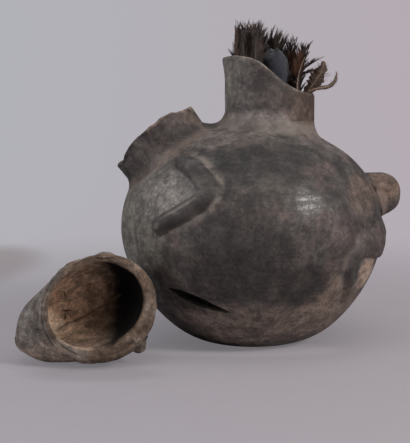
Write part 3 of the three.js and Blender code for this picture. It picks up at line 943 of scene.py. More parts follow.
POT_PATCHES_AND_PAINTED_LIGHT = (
    Patch((-100, -55, 110), (38, 60, 85), (112, 109, 100), 0.85),
    Patch((-72, -80, 140), (40, 50, 34), (124, 119, 113), 0.95),
    Patch((-60, -90, 142), (17, 30, 17), (134, 129, 123), 0.9),
    Patch((-30, -45, 182), (50, 40, 14), (106, 97, 91), 0.75),
    Patch((60, -30, 176), (36, 40, 20), (98, 90, 86), 0.7),
    Patch((-2, -87, 162), (50, 30, 17), (43, 39, 36), 0.9),
    Patch((-7, -116, 95), (45, 40, 36), (54, 50, 47), 0.75),
    Patch((34, -103, 62), (30, 40, 22), (50, 46, 42), 0.7),
    Patch((66, -97, 107), (22, 30, 20), (92, 77, 76), 0.4),
    Patch((101, -45, 93), (18, 30, 16), (106, 89, 84), 0.6),
    Patch((92, -61, 136), (24, 34, 20), (110, 91, 80), 0.55),
    Patch((96, -56, 66), (15, 30, 17), (160, 139, 122), 0.95, 0.5),
    Patch((64, -86, 52), (10, 30, 24), (124, 110, 97), 0.8, 0.6),
    Patch((64, -60, 36), (46, 50, 30), (128, 111, 98), 0.85),
    Patch((0, -80, 26), (80, 50, 26), (124, 110, 99), 0.85),
    # Painted shade on the flank where the head lies close to it
    Patch((-88, -70, 74), (16, 30, 14), (50, 47, 44), 0.4),
    Patch((17, -105, 141), (26, 30, 16), (58, 52, 47), 0.7),
    Patch((-20, -21, 232), (26, 40, 46), (119, 115, 107), 0.85),
    Patch((10, -40, 225), (30, 40, 40), (79, 72, 68), 0.85),
    # Painted highlight along the coil's ridge at the neck's foot
    Patch((0, -40, 198), (46, 40, 8), (132, 123, 118), 0.75),
    Patch((50, -20, 210), (34, 40, 34), (88, 70, 60), 0.75),
    Patch((108, -22, 138), (16, 22, 18), (114, 94, 80), 0.55),
)

# Where the globe was rubbed until it shines
BURNISHED = (Patch((42, -104, 131), (15, 30, 13), (0, 0, 0), 1.0, 0.6),)

HEAD_PATCHES = (
    Patch((-160, -100, 4), (40, 50, 22), (168, 151, 136), 0.8),
    Patch((-112, -124, 14), (32, 26, 14), (84, 69, 58), 0.95),
)

# The first is a painted pool of light on the hollow's left wall, the next two are painted shade at its bottom
# and middle, the next two are painted shade on its right wall, and the last three are dark specks in the
# hollow
HOLLOW_PAINTED_LIGHT_AND_SPECKS = (
    Patch((-162, -70, 50), (22, 40, 40), (236, 210, 184), 0.8),
    Patch((-124, -80, 8), (50, 80, 20), (124, 103, 87), 0.85),
    Patch((-128, -70, 40), (20, 40, 24), (140, 115, 96), 0.5),
    Patch((-92.8, -85, 45), (36.7, 200, 200), (7, 6, 4), 1.0, 0.25),
    Patch((-99.8, -85, 88), (33, 200, 30), (12, 9, 7), 1.0, 0.25),
    Patch((-160.6, -61.4, 49.8), (1.2, 20, 4.4), (84, 62, 44), 0.8),
    Patch((-159, -57.1, 35.2), (5, 20, 1.1), (74, 54, 38), 0.8),
    Patch((-161, -60, 30), (1.3, 20, 3), (74, 54, 38), 0.8),
)

COLLAR_PATCHES = (
    Patch((-46, -28, 186), (16, 34, 14), (100, 90, 84), 0.6),
    Patch((-95, -40, 170), (34, 40, 28), (100, 92, 88), 0.8),
    Patch((-70, -45, 186), (33, 44, 19), (53, 45, 42), 0.9),
    Patch((-60, -30, 204), (30, 40, 12), (88, 75, 69), 0.85),
    Patch((122, -12, 141), (22, 14, 20), (122, 101, 87), 0.75),
)

# A painted highlight on the feathers at the right
PAINTED_GLINTS = (Patch((36, -20, 248), (8, 50, 14), (146, 108, 82), 0.9),)

# Painted shadow under the head, and painted light that lifts the shadow where the pot stands
TABLE_PAINTED_SHADE_AND_LIGHT = (
    Patch((-128, -132, 0), (60, 24, 20), (128, 122, 125), 0.6),
    Patch((-12, -52, 0), (90, 30, 20), (196, 190, 194), 0.7),
)

# The soft shadow on the table far behind the head
FAR_SHADOW = (Patch((-360, 430, 0), (100, 220, 100), (134, 124, 122), 0.6),)


# The pot


@dataclass(frozen=True)
class Wall:
    """The globe's outer surface, which everything luted to it follows."""

    belly_radius: float = 117 * MM
    belly_height: float = 98 * MM
    crown_height: float = 193 * MM
    foot_radius: float = 40 * MM
    thickness: float = 7 * MM
    floor: float = 9 * MM
    lower: Pair = (1.6, 1.7)
    upper: Pair = (2.3, 2.0)
    lump: float = 0.8
    dent: float = 0.35

    def height(self, level: Array) -> Array:
        """Gives the height of a level."""
        span = np.where(level < 0, self.belly_height, self.crown_height - self.belly_height)
        return self.belly_height + level * span

    def radius(self, height: Array, inset: float = 0) -> Array:
        """Gives the wall's radius at a height, or the hollow's with an inset.

        Below the belly it is foot + (belly - foot) (1 - s^a)^(1/b), with s the share of the way
        down. Above it, it is belly (1 - s^a)^(1/b), with s the share of the way up.

        Args:
            height: heights above the table.
            inset: the wall's thickness, for the hollow.

        Returns:
            One radius for each height.
        """
        bottom = self.floor if inset else 0
        down = np.clip((self.belly_height - height) / (self.belly_height - bottom), 0, 1)
        up = np.clip((height - self.belly_height) / (self.crown_height - inset - self.belly_height), 0, 1)
        bulge = (1 - down ** self.lower[0]) ** (1 / self.lower[1])
        below = self.foot_radius - inset + (self.belly_radius - self.foot_radius) * bulge
        above = (self.belly_radius - inset) * (1 - up ** self.upper[0]) ** (1 / self.upper[1])
        return np.where(height < self.belly_height, below, above)

    def rise(self, points: Array) -> Array:
        """Gives the height of the shoulder over points in the plan.

        Args:
            points: the points.

        Returns:
            One height for each.
        """
        share = np.clip(np.hypot(points[..., 0], points[..., 1]) / self.belly_radius, 0, 1)
        up = (1 - share ** self.upper[1]) ** (1 / self.upper[0])
        return self.belly_height + (self.crown_height - self.belly_height) * up

    def distance(self, points: Array) -> tuple[Array, Array]:
        """Finds how far points lie outside the wall, and which way leads out.

        The wall is where (r/R)^b + s^a is 1, with r counted from the foot's edge below the
        belly. That sum less 1, over the length of its slope, is close to the distance.

        Args:
            points: the points.

        Returns:
            The distances, and unit vectors along the slope.
        """
        r = np.maximum(np.hypot(points[..., 0], points[..., 1]), 1e-9)
        over = points[..., 2] > self.belly_height
        inner = np.where(over, 0, self.foot_radius)
        span_r = self.belly_radius - inner
        span_z = np.where(over, self.crown_height - self.belly_height, -self.belly_height)
        a, b = (np.where(over, self.upper[k], self.lower[k]) for k in (0, 1))
        share_r = np.clip((r - inner) / span_r, 1e-6, None)
        share_z = np.clip((points[..., 2] - self.belly_height) / span_z, 1e-6, None)
        slope_r = b / span_r * share_r ** (b - 1)
        slope_z = a / span_z * share_z ** (a - 1)
        steep = np.hypot(slope_r, slope_z)
        out = np.stack([slope_r * points[..., 0] / r, slope_r * points[..., 1] / r, slope_z], -1)
        return (share_r**b + share_z**a - 1) / steep, out / steep[..., None]

    def unevenness(self, points: Array) -> Array:
        """Gives the hand-built wall's departure from its curve, fading out at the foot."""
        lumps = bumps(points, self.lump, 58, 3) + bumps(points, self.dent, 21, 11, 3)
        return lumps * smooth(1 * MM, 14 * MM, points[..., 2])

    def on(self, points: Array, out: Array | float = 0) -> Array:
        """Brings points to the wall, then moves them out of it.

        Args:
            points: points near the wall.
            out: how far they end up outside it.

        Returns:
            The points moved.
        """
        for _ in range(6):
            gap, way = self.distance(points)
            points = points - gap[..., None] * way
        _, way = self.distance(points)
        return points + (self.unevenness(points) + out)[..., None] * way

    def at(self, angle: Array, level: Array) -> Array:
        """Gives the point at an angle in degrees and a level."""
        height = self.height(level)
        return turned(self.radius(height), np.radians(angle), height)


@dataclass(frozen=True)
class Leaf:
    """The slot in the left flank, cut level through the wall, with rounded lips."""

    angle: float = 241
    level: float = -0.5
    length: float = 56 * MM
    width: float = 9.2 * MM
    tilt: float = -18.5
    fullest: Pair = (-0.35, 0.1)
    lip: float = 1.6 * MM

    def outline(self, steps: int) -> Array:
        """Gives the leaf's outline in its own plane: two bowed edges between two tips.

        Args:
            steps: how many points each edge has.

        Returns:
            Points along the slot and across it.
        """
        tip = self.length / 2
        t = np.linspace(0, 1, steps, endpoint=False)[:, None]
        edges = []
        for side, fullest in zip((1, -1), self.fullest):
            ends = np.array([[-side * tip, 0.0], [side * tip, 0.0]])
            edges.append(bend(ends[0], np.array([side * tip * fullest, side * self.width]), ends[1], t))
        return np.vstack(edges)

    def cutter(self, wall: Wall) -> Surface:
        """Builds the cutter: the outline carried level through the wall, flared where it leaves it.

        At a depth d under the wall's face the outline is let out by lip - (lip^2 - (lip - d)^2)^(1/2).

        Args:
            wall: the wall that it cuts.

        Returns:
            The cutter.
        """
        turn, tilt = math.radians(self.angle), math.radians(self.tilt)
        inwards = np.array([-math.cos(turn), -math.sin(turn), 0])
        along = np.array([-math.sin(turn), math.cos(turn), 0])
        up = np.array([0, 0, 1.0])
        run = math.cos(tilt) * along + math.sin(tilt) * up
        rise = -math.sin(tilt) * along + math.cos(tilt) * up
        flat = self.outline(40)
        ragged = bumps(np.column_stack([flat, np.zeros(len(flat))]), 0.35, 4, 5)
        tangent = np.roll(flat, -1, axis=0) - np.roll(flat, 1, axis=0)
        outwards = unit(np.stack([tangent[:, 1], -tangent[:, 0]], -1))
        outwards *= np.sign((outwards * flat).sum(1).sum())
        centre = wall.at(np.array(self.angle), np.array(self.level))
        rows = []
        for depth in (-8 * MM, 0, *(self.lip * np.array([0.15, 0.35, 0.6, 1.0])), 4 * wall.thickness):
            share = min(max(depth / self.lip, 0), 1)
            let_out = self.lip * (1 - math.sqrt(1 - (1 - share) ** 2))
            edge = flat + outwards * (let_out + ragged)[:, None]
            face = centre + edge[:, :1] * run + edge[:, 1:] * rise
            for _ in range(4):
                gap, way = wall.distance(face)
                face = face + inwards * (gap / -(way @ inwards))[:, None]
            rows.append(face + inwards * depth)
        return capped_surface(np.array(rows))


@dataclass(frozen=True)
class Globe:
    """The hollow globe, with its two mouths and its slot."""

    wall: Wall
    columns: int = 360
    lower_rows: int = 92
    upper_rows: int = 104
    foot_rows: int = 6
    inner_columns: int = 128
    inner_rows: int = 28
    # Where the round cutters start and end along their axes
    neck_bore: Pair = (128 * MM, 252 * MM)
    socket_bore: Pair = (-24 * MM, 24 * MM)

    def heights(self, bottom: float, top: float, lower: int, upper: int) -> Array:
        """Steps from the bottom to the top: as 1 - cos t below the belly, and as sin t above it.

        Args:
            bottom: the lowest height.
            top: the highest.
            lower: how many steps lie below the belly.
            upper: how many lie above it.

        Returns:
            The heights.
        """
        belly = self.wall.belly_height
        low = bottom + (belly - bottom) * (1 - np.cos(np.linspace(0, np.pi / 2, lower)))
        up = np.sin(np.linspace(0, np.pi / 2, upper)[1:-1])
        return np.concatenate([low, belly + (top - belly) * up])

    def outside(self) -> Surface:
        """Turns the wall's curve about +Z, over a flat foot.

        Returns:
            The outer face.
        """
        wall = self.wall
        heights = self.heights(0, wall.crown_height, self.lower_rows, self.upper_rows)
        flat = np.linspace(0.05, 0.97, self.foot_rows) * wall.foot_radius
        radii = np.concatenate([flat, wall.radius(heights)])
        heights = np.concatenate([0 * flat, heights])
        grid = turned(radii[:, None], turns(self.columns), heights[:, None])
        _, way = wall.distance(grid)
        body = slice(self.foot_rows + 1, None)
        grid[body] += wall.unevenness(grid[body])[..., None] * way[body]
        return capped_surface(grid)

    def inside(self) -> Surface:
        """Turns the hollow's curve about +Z in the same way, with the marks of fingers in it.

        Returns:
            The inner face.
        """
        wall = self.wall
        top = wall.crown_height - wall.thickness
        heights = self.heights(wall.floor, top, self.inner_rows, self.inner_rows)
        radii = wall.radius(heights, wall.thickness)
        grid = turned(radii[:, None], turns(self.inner_columns), heights[:, None])
        grid[..., :2] *= 1 + 0.008 * noise(grid, 16 * MM, 21)[..., None]
        return capped_surface(grid).turned_over()

    def build(self, neck: "Neck", socket: "Socket", limbs: Sequence["Limb"], dress: Dress) -> None:
        """Builds, cuts and dresses the globe.

        Args:
            neck: the neck, whose bore goes through the crown.
            socket: the socket, whose bore goes through the shoulder.
            limbs: the limbs, which leave a smeared margin and a painted shadow along their crisp edges on the
                globe.
            dress: its clay.
        """
        piece = mesh_object("globe", joined(self.outside(), self.inside()))
        bores = (neck.borer(*self.neck_bore), socket.borer(*self.socket_bore))
        for cutter in (*bores, Leaf().cutter(self.wall)):
            cut(piece, cutter)
        points = points_of(piece)
        # Each limb leaves paler smeared clay and a painted shadow along its crisp edge
        marks = [limb.marks(points) for limb in limbs]
        collar = 0.4 * bell(socket.height_over(points) / (5 * MM))
        dress.put_on(piece, ["pot_globe"], {
            Paint.INSIDE: smooth(-1.5 * MM, -3 * MM, self.wall.distance(points)[0]),
            Paint.HALO: np.maximum(np.max([smear for smear, _ in marks], axis=0), collar),
            Paint.GROOVE_SHADE: 0.5 * np.max([seam_shadow for _, seam_shadow in marks], axis=0)}, 38)


@dataclass(frozen=True)
class Stub:
    """A round wall of clay that stands on the globe and ends in a break.

    The break is seen from the side, from the front of the animal to its back: place in radii,
    then millimetres.
    """

    wall: Wall
    radius: float
    thickness: float
    breakage: tuple[Pair, ...]
    columns: int = 300

    @property
    def bore(self) -> float:
        """Radius of the bore."""
        return self.radius - self.thickness

    def placed(self, points: Array) -> Array:
        """Carries points from the stub's own frame to the globe."""
        raise NotImplementedError

    def around(self, radius: Array | float, height: Array | float) -> Array:
        """Gives points at a radius from the axis and a height along it, one for each column."""
        return self.placed(turned(radius, turns(self.columns), height))

    def borer(self, bottom: float, top: float) -> Surface:
        """Builds the round bar that cuts the bore through the globe."""
        rings = [turned(self.bore, turns(96), height) for height in (bottom, top)]
        return capped_surface(self.placed(np.stack(rings)))

    def broken(self) -> Array:
        """Reads the smooth curve through the breakage in each column."""
        dense = catmull(self.breakage, np.linspace(0, 1, 200))
        return np.interp(np.cos(turns(self.columns)), dense[:, 0], dense[:, 1]) * MM

    def over(self, off: Array, edge: Array) -> tuple[Array, Array]:
        """Finds how far the stub's own points lie below the break's edge, and at which angle."""
        turn = np.arctan2(off[:, 1], off[:, 0]) % (2 * np.pi)
        return np.interp(turn, turns(self.columns), edge, period=2 * np.pi) - off[:, 2], turn


@dataclass(frozen=True)
class Neck(Stub):
    """The tall pouring neck, with its oblique broken rim, and the coil round its foot."""

    x: float = 15.5 * MM
    radius: float = 40 * MM
    thickness: float = 5.5 * MM
    rise: float = 59 * MM
    flare: float = 3 * MM
    flare_height: float = 22 * MM
    coil_width: float = 9 * MM
    coil_rise: float = 9 * MM
    coil_rows: int = 22
    # Its numbers are drops from the top
    breakage: tuple[Pair, ...] = (
        (-1.2, 1.5), (-0.85, 0), (-0.55, 1.8), (-0.3, 5.5), (-0.2, 8.5),
        (0.125, 19), (0.275, 23.5), (0.6, 29.5), (0.85, 32), (1.2, 31))

    @property
    def top(self) -> float:
        """Height of the rim's highest point."""
        return self.wall.crown_height + self.rise

    def placed(self, points: Array) -> Array:
        """Carries points from the neck's own axis to the globe's."""
        return points + (self.x, 0, 0)

    def rim(self) -> Array:
        """Works out the rim: the break, with chips and bites.

        Returns:
            Its height in each column.
        """
        ring = self.around(self.radius, 0)
        bites = 1.3 * MM * smooth(0.45, 0.8, noise(ring, 8 * MM, 47))
        return self.top - self.broken() + bumps(ring, 0.55, 9, 41, 3) - bites - 0.8 * MM

    def tube(self) -> Array:
        """Builds the tube as a closed section carried round the neck's axis.

        The radius is neck + flare s^1.7, where s is the share of the way up the flare. The
        section goes up the outer face, over a rounded break, and down the bore.

        Returns:
            Points as place along the section and column.
        """
        rim = self.rim()
        foot = self.wall.rise(self.around(self.radius, 0)) - 1.5 * MM
        across, height, rise = loop_over(np.linspace(0, 1, 46), 1.0 * MM, 7)
        z = foot + height * (rim - foot) + rise
        share = np.clip((z - self.top + self.flare_height) / self.flare_height, 0, 1.1)
        thin = self.thickness - 1.6 * MM * smooth(30 * MM, 2 * MM, rim - z)
        radius = self.radius + self.flare * share**1.7 - across * np.where(across > 0.5, thin, self.thickness)
        grid = self.around(radius, z)
        worn = smooth(2.2 * MM, 0, rim - z) * (1 - across)
        uneven = bumps(grid, 0.55, 34, 51) + bumps(grid, 0.25, 11, 53, 3)
        broken = smooth(3 * MM, 0, rim - z) * bumps(grid, 0.45, 3, 57, 2)
        return self.around(radius + uneven - 0.7 * MM * worn + broken, z)

    def rising(self, out: Array | float, up: Array | float) -> Array:
        """Gives points outside the neck's face, and above the shoulder under them.

        Args:
            out: how far outside they are.
            up: how far above.

        Returns:
            Points, one for each column.
        """
        place = self.around(self.radius + out, 0 * out)
        place[..., 2] = self.wall.rise(place) + up
        return place

    def reach(self, socket: "Socket") -> Array:
        """Finds how far the head's stump is from the neck's wall.

        Args:
            socket: the head's stump.

        Returns:
            The distance in each column.
        """
        out = np.linspace(8 * MM, 60 * MM, 105)[:, None]
        within = socket.height_over(self.rising(out, 11 * MM)) + socket.fillet < -3 * MM
        return np.where(within.any(0), out[within.argmax(0), 0], out[-1, 0])

    def coil(self, socket: "Socket") -> Array:
        """Builds the coil: a hollow fillet from the neck's wall out to the shoulder, with a low ridge.

        Where the head's stump is near, the fillet runs up to it as a saddle.

        Args:
            socket: the head's stump.

        Returns:
            Points as row and column.
        """
        last = self.coil_rows - 1
        wave = 1 + 0.09 * noise(self.around(self.radius, 0), 14 * MM, 61)
        upper = self.coil_rise * wave
        width = (self.coil_width + 1.5 * MM) * wave
        reach = self.reach(socket)
        saddle = smooth(36 * MM, 21 * MM, reach)
        width = width + (reach - width) * saddle
        start = self.rising(0.1 * MM, upper + 3 * MM)
        corner = self.rising(1.3 * MM + 3.2 * MM * saddle, 0.4 * MM - 1.2 * MM * saddle)
        end = self.rising(width, 11 * MM * saddle)
        fillet = bend(start, corner, end, np.linspace(0, 1, self.coil_rows)[:, None, None])
        for i in range(last - 3, last + 1):
            on_wall = self.wall.on(fillet[i], 0.25 * MM * (last - i) - 0.1 * MM)
            fillet[i] += (on_wall - fillet[i]) * (1 - np.clip(2 * saddle, 0, 1))[:, None]
        ridge = bell((np.arange(last + 1) - 6) / 2.0)[:, None] * (0.35 + 0.5 * noise(start, 12 * MM, 63))
        fillet[..., 2] += ridge * MM
        fillet[2:18] += bumps(fillet[2:18], 0.3, 8, 65, 3)[..., None]
        under = np.stack([
            self.wall.on(self.rising(width + 0.8 * MM, 0), -0.8 * MM),
            self.rising(self.coil_width * 0.6, -3 * MM),
            self.rising(-1.5 * MM, -3 * MM),
            self.rising(-1.5 * MM, upper + 2 * MM),
            self.rising(-0.8 * MM, upper + 3 * MM)])
        return np.concatenate([fillet, under])

    def build(self, socket: "Socket", dress: Dress) -> None:
        """Builds and dresses the neck and its coil.

        Args:
            socket: the head's stump, which the coil runs up to.
            dress: their clay.
        """
        tube = mesh_object("neck_tube", open_surface(self.tube(), True).outward())
        off = points_of(tube) - (self.x, 0, 0)
        below, _ = self.over(off, self.rim())
        bore = np.hypot(off[:, 0], off[:, 1]) < self.radius - 0.6 * self.thickness
        dress.put_on(tube, ["neck"], {
            Paint.EDGE: 0.65 * smooth(3.2 * MM, 0.2 * MM, below),
            Paint.INSIDE: bore * smooth(1 * MM, 4 * MM, below)})
        coil = mesh_object("neck_foot_coil", open_surface(self.coil(socket), True).outward())
        off = points_of(coil) - (self.x, 0, 0)
        out = np.hypot(off[:, 0], off[:, 1]) - self.radius
        # Painted highlight: the fillet next to the neck is painted paler, as the light along the coil's ridge
        pale = 0.65 * smooth(12 * MM, 4 * MM, out) * smooth(-1 * MM, 1.5 * MM, out)
        dress.put_on(coil, ["neck_coil"], {Paint.HALO: pale})


@dataclass(frozen=True)
class Socket(Stub):
    """The broken stump of the animal's own neck, on the front of the shoulder."""

    level: float = 0.768
    sink: float = 2.4 * MM
    lean: float = 37.2
    radius: float = 42.4 * MM
    thickness: float = 6.5 * MM
    fillet: float = 7 * MM
    # Its numbers are heights above the stump's base
    breakage: tuple[Pair, ...] = (
        (-1.32, 17), (-1.01, 16), (-0.87, 14.5), (-0.66, 18.5), (-0.42, 22.5),
        (-0.12, 23.8), (0.5, 24), (0.75, 20.5), (1.04, 16.5), (1.32, 16))

    def frame(self) -> tuple[Array, Array]:
        """Finds where the stump stands and which way it points.

        Returns:
            Its base point and, as rows, the directions to its upper side, across it and along it.
        """
        face = self.wall.at(np.array(180.0), np.array(self.level))
        _, way = self.wall.distance(face)
        lean = math.radians(self.lean)
        upper, axis = (math.cos(lean), 0, math.sin(lean)), (-math.sin(lean), 0, math.cos(lean))
        return face - self.sink * way, np.array([upper, (0, 1.0, 0), axis])

    def placed(self, points: Array) -> Array:
        """Carries points from the stump's own frame to the shoulder."""
        base, ways = self.frame()
        return base + points @ ways

    def own(self, points: Array) -> Array:
        """Carries points from the pot's frame to the stump's own."""
        base, ways = self.frame()
        return (points - base) @ ways.T

    def height_over(self, points: Array) -> Array:
        """Finds how far points lie outside the stump's outer face and its fillet.

        Args:
            points: points in the pot's frame.

        Returns:
            The distances.
        """
        off = self.own(points)
        away = np.hypot(off[..., 0], off[..., 1]) - self.radius - self.fillet
        return np.where(off[..., 2] > -40 * MM, away, 1.0)

    def foot(self) -> Array:
        """Finds, in each column, the height along the axis where the tube's face meets the wall.

        The span between a height outside the wall and one inside it is halved until it is small.

        Returns:
            The heights.
        """
        high = np.full(self.columns, 20 * MM)
        low = np.full(self.columns, -30 * MM)
        for _ in range(24):
            middle = (high + low) / 2
            outside = self.wall.distance(self.around(self.radius, middle))[0] > 0
            high = np.where(outside, middle, high)
            low = np.where(outside, low, middle)
        return low

    def edge(self) -> Array:
        """Gives the broken edge's height in each column: the break, with flakes and splinters."""
        ring = self.around(self.radius, 0)
        return self.broken() + bumps(ring, 1.0, 7.5, 71) + bumps(ring, 0.7, 3.4, 73, 2) - 0.6 * MM

    def tube(self) -> Array:
        """Builds the stump as a closed section carried round its axis.

        The section goes from the bore's foot up to the break, over it and down the outer face,
        then out over the wall in a hollow fillet, and back under it.

        Returns:
            Points as place along the section and column.
        """
        foot, edge = self.foot(), self.edge()
        across, height, rise = loop_over(np.linspace(0, 1, 26), 1.3 * MM, 8)
        start = np.minimum(foot + self.fillet, edge - 2 * MM)
        z = np.where(across > 0.5, -24 * MM, start) * (1 - height) + height * edge + rise
        radius = self.radius - across * self.thickness + 0 * z
        grid = self.around(radius, z)
        near_edge = smooth(10 * MM, 0.5 * MM, edge - z)
        scars = smooth(0.05, 0.5, noise(grid, 9 * MM, 77)) * near_edge * (across < 0.5)
        uneven = bumps(grid, 0.7, 27, 79) + bumps(grid, 0.35, 9, 81, 3)
        radius = radius + uneven - 1.1 * MM * scars + near_edge * bumps(grid, 0.35, 3, 83, 2)
        tube = self.around(radius, z)[::-1]
        corner = self.around(self.radius + 0.4 * MM, foot + 0.5 * MM)
        end = self.wall.on(self.around(self.radius + self.fillet + 2 * MM, foot), -0.1 * MM)
        fillet = bend(tube[-1], corner, end, np.linspace(0, 1, 14)[1:, None, None])
        under = np.stack([
            self.wall.on(self.around(self.radius + self.fillet + 3.2 * MM, foot), -0.9 * MM),
            self.wall.on(self.around(self.radius, foot), -3 * MM)])
        return np.concatenate([tube, fillet, under])

    def build(self, dress: Dress) -> None:
        """Builds and dresses the stump.

        Args:
            dress: its clay.
        """
        piece = mesh_object("neck_stump", open_surface(self.tube(), True).outward())
        points = points_of(piece)
        off = self.own(points)
        below, turn = self.over(off, self.edge())
        front = smooth(0.2, -0.5, np.cos(turn))
        flaked = smooth(4 * MM, 0.5 * MM, below + bumps(points, 2, 7, 87))
        bore = np.hypot(off[:, 0], off[:, 1]) < self.radius - 0.7 * self.thickness
        dress.put_on(piece, ["head_socket"], {
            Paint.EDGE: 0.8 * smooth(3 * MM, 0, below) * (1 - front),
            Paint.SOOT: 0.6 * front * flaked,
            Paint.HALO: 0.5 * smooth(5 * MM, 0.5 * MM, self.wall.distance(points)[0]),
            Paint.INSIDE: bore * smooth(0, 3 * MM, below)})


@dataclass(frozen=True)
class Limb:
    """A coil of clay pressed on to the globe, with one crisp edge and one smeared into the wall.

    Its joints are angle, level and radius in millimetres. The outer margin is a smear of paler
    clay on the globe: where it lies along the coil from its start, 0, to its end, 1, and how
    strong it is. The right limbs mirror the left ones.
    """

    wall: Wall
    piece: str
    node: str
    joints: tuple[Place, ...]
    relief: float
    crisp_side: int
    margin: tuple[Pair, ...]
    flat: float
    crest_highlight_and_spot: float
    soot: float
    far: bool = False
    rows: int = 110
    columns: int = 41
    smeared_reach: float = 1.3

    def mirrored(self) -> "Limb":
        """Gives the same limb on the far side."""
        return replace(self, far=True)

    def sided(self, points: Array) -> Array:
        """Mirrors points for the far side."""
        return points * (1, -1 if self.far else 1, 1)

    def route(self) -> tuple[Array, Array, Array, Array]:
        """Follows the coil's line on the wall.

        The half width is where a round coil, sunk until its relief is left, meets the wall:
        (r^2 - (r - relief)^2)^(1/2).

        Returns:
            The line, the direction across it, its half width and its run.
        """
        knots = catmull(self.joints, np.linspace(0, 1, self.rows))
        path = self.wall.at(knots[:, 0], knots[:, 1])
        _, out = self.wall.distance(path)
        across = unit(np.cross(out, np.gradient(path, axis=0)))
        radius = knots[:, 2] * MM
        half = np.sqrt(radius**2 - np.clip(radius - self.relief, 0, None) ** 2)
        return path, across, half, length_along(path)

    def around(self, points: Array) -> tuple[Array, Array, Array, Array]:
        """Finds where points lie along the coil.

        Args:
            points: the points.

        Returns:
            For each, its distance to the line, how far it is on the crisp side, the half width
            there, and the share of the way along.
        """
        path, across, half, travel = self.route()
        path, across = self.sided(path), self.sided(across)
        away, stop = nearest(points, path)
        side = np.einsum("ij,ij->i", points - path[stop], across[stop]) * self.crisp_side
        return away, side, half[stop], (travel / travel[-1])[stop]

    def marks(self, points: Array) -> tuple[Array, Array]:
        """Finds what the coil leaves on the globe.

        Args:
            points: points of the globe.

        Returns:
            How strong the smeared margin is, and the painted shadow along the crisp edge.
        """
        away, side, half, along = self.around(points)
        away = away + bumps(points, 1.5, 8, 31)
        outer = self.smeared_reach * half
        smear = smooth(0.95 * half, 1.2 * half, away) * smooth(outer + 6 * MM, outer + 1 * MM, away)
        smear = np.interp(along, *zip(*self.margin)) * smear * smooth(1 * MM, -3 * MM, side)
        # A painted shadow along the crisp edge, where the coil stands off the wall
        return smear, bell((away - half) / (1.0 * MM)) * smooth(0, 4 * MM, side)

    def crest(self, points: Array) -> Array:
        """Finds the painted highlight along the crisp edge of the second half, and the pale spot at its end.

        Args:
            points: points of the coil.

        Returns:
            How strongly each is lightened.
        """
        _, side, half, along = self.around(points)
        side = side / half
        line = bell((side - 0.35) / 0.15) * smooth(0.52, 0.60, along) * smooth(0.92, 0.84, along)
        spot = bell((along - 0.945) / 0.022) * bell((side + 0.1) / 0.32)
        return self.crest_highlight_and_spot * np.maximum(0.8 * line, spot)

    def surface(self) -> Surface:
        """Builds the coil as a low mound on the wall.

        At a share v across, the mound's height is relief (1 - |v|^flat)^0.5 on the crisp side
        and relief (1 - |v|^2.2)^1.6 on the smeared side, which reaches farther. Each end is a
        quarter circle as long as part of the half width.

        Returns:
            The mound, closed under the wall's face.
        """
        path, across, half, travel = self.route()
        start = np.clip(travel / (0.6 * half[0]), 0, 1)
        finish = np.clip((travel[-1] - travel) / (0.35 * half[-1]), 0, 1)
        full = (np.sqrt(1 - (1 - start) ** 2) * np.sqrt(1 - (1 - finish) ** 2))[:, None]
        v = np.linspace(-1, 1, self.columns)
        crisp = v * self.crisp_side > 0
        shape = np.where(crisp, (1 - np.abs(v) ** self.flat) ** 0.5, (1 - np.abs(v) ** 2.2) ** 1.6)
        spread = (0.5 + 0.5 * full) * half[:, None] * np.where(crisp, 1.0, self.smeared_reach) * v
        flat = path[:, None] + across[:, None] * spread[..., None]
        mound = self.relief * full * shape * (1 + 0.16 * noise(flat, 10 * MM, 91))
        mound = mound + bumps(flat, 0.4, 6, 93, 3) * shape
        top = self.wall.on(flat, mound - 0.5 * MM * (1 - full * shape))
        below = self.wall.on(flat[:, ::6][:, ::-1], -2.2 * MM)
        return capped_surface(self.sided(np.concatenate([top, below], 1)))

    def build(self, dress: Dress) -> None:
        """Builds and dresses the limb.

        Args:
            dress: its clay.
        """
        side = "_right" if self.far else "_left"
        piece = mesh_object(self.piece + side, self.surface())
        points = points_of(piece)
        gap, _ = self.wall.distance(points)
        raised = smooth(0.3 * MM, 2.2 * MM, gap + bumps(points, 0.6, 6, 95))
        # Paler smeared clay, and a painted highlight along the crisp crest
        smear_and_crest_highlight = np.maximum(self.marks(points)[0], self.crest(points))
        dress.put_on(piece, [self.node + side], {
            Paint.SOOT: self.soot * raised * (1 - np.clip(1.2 * smear_and_crest_highlight, 0, 1)), Paint.HALO: smear_and_crest_highlight})


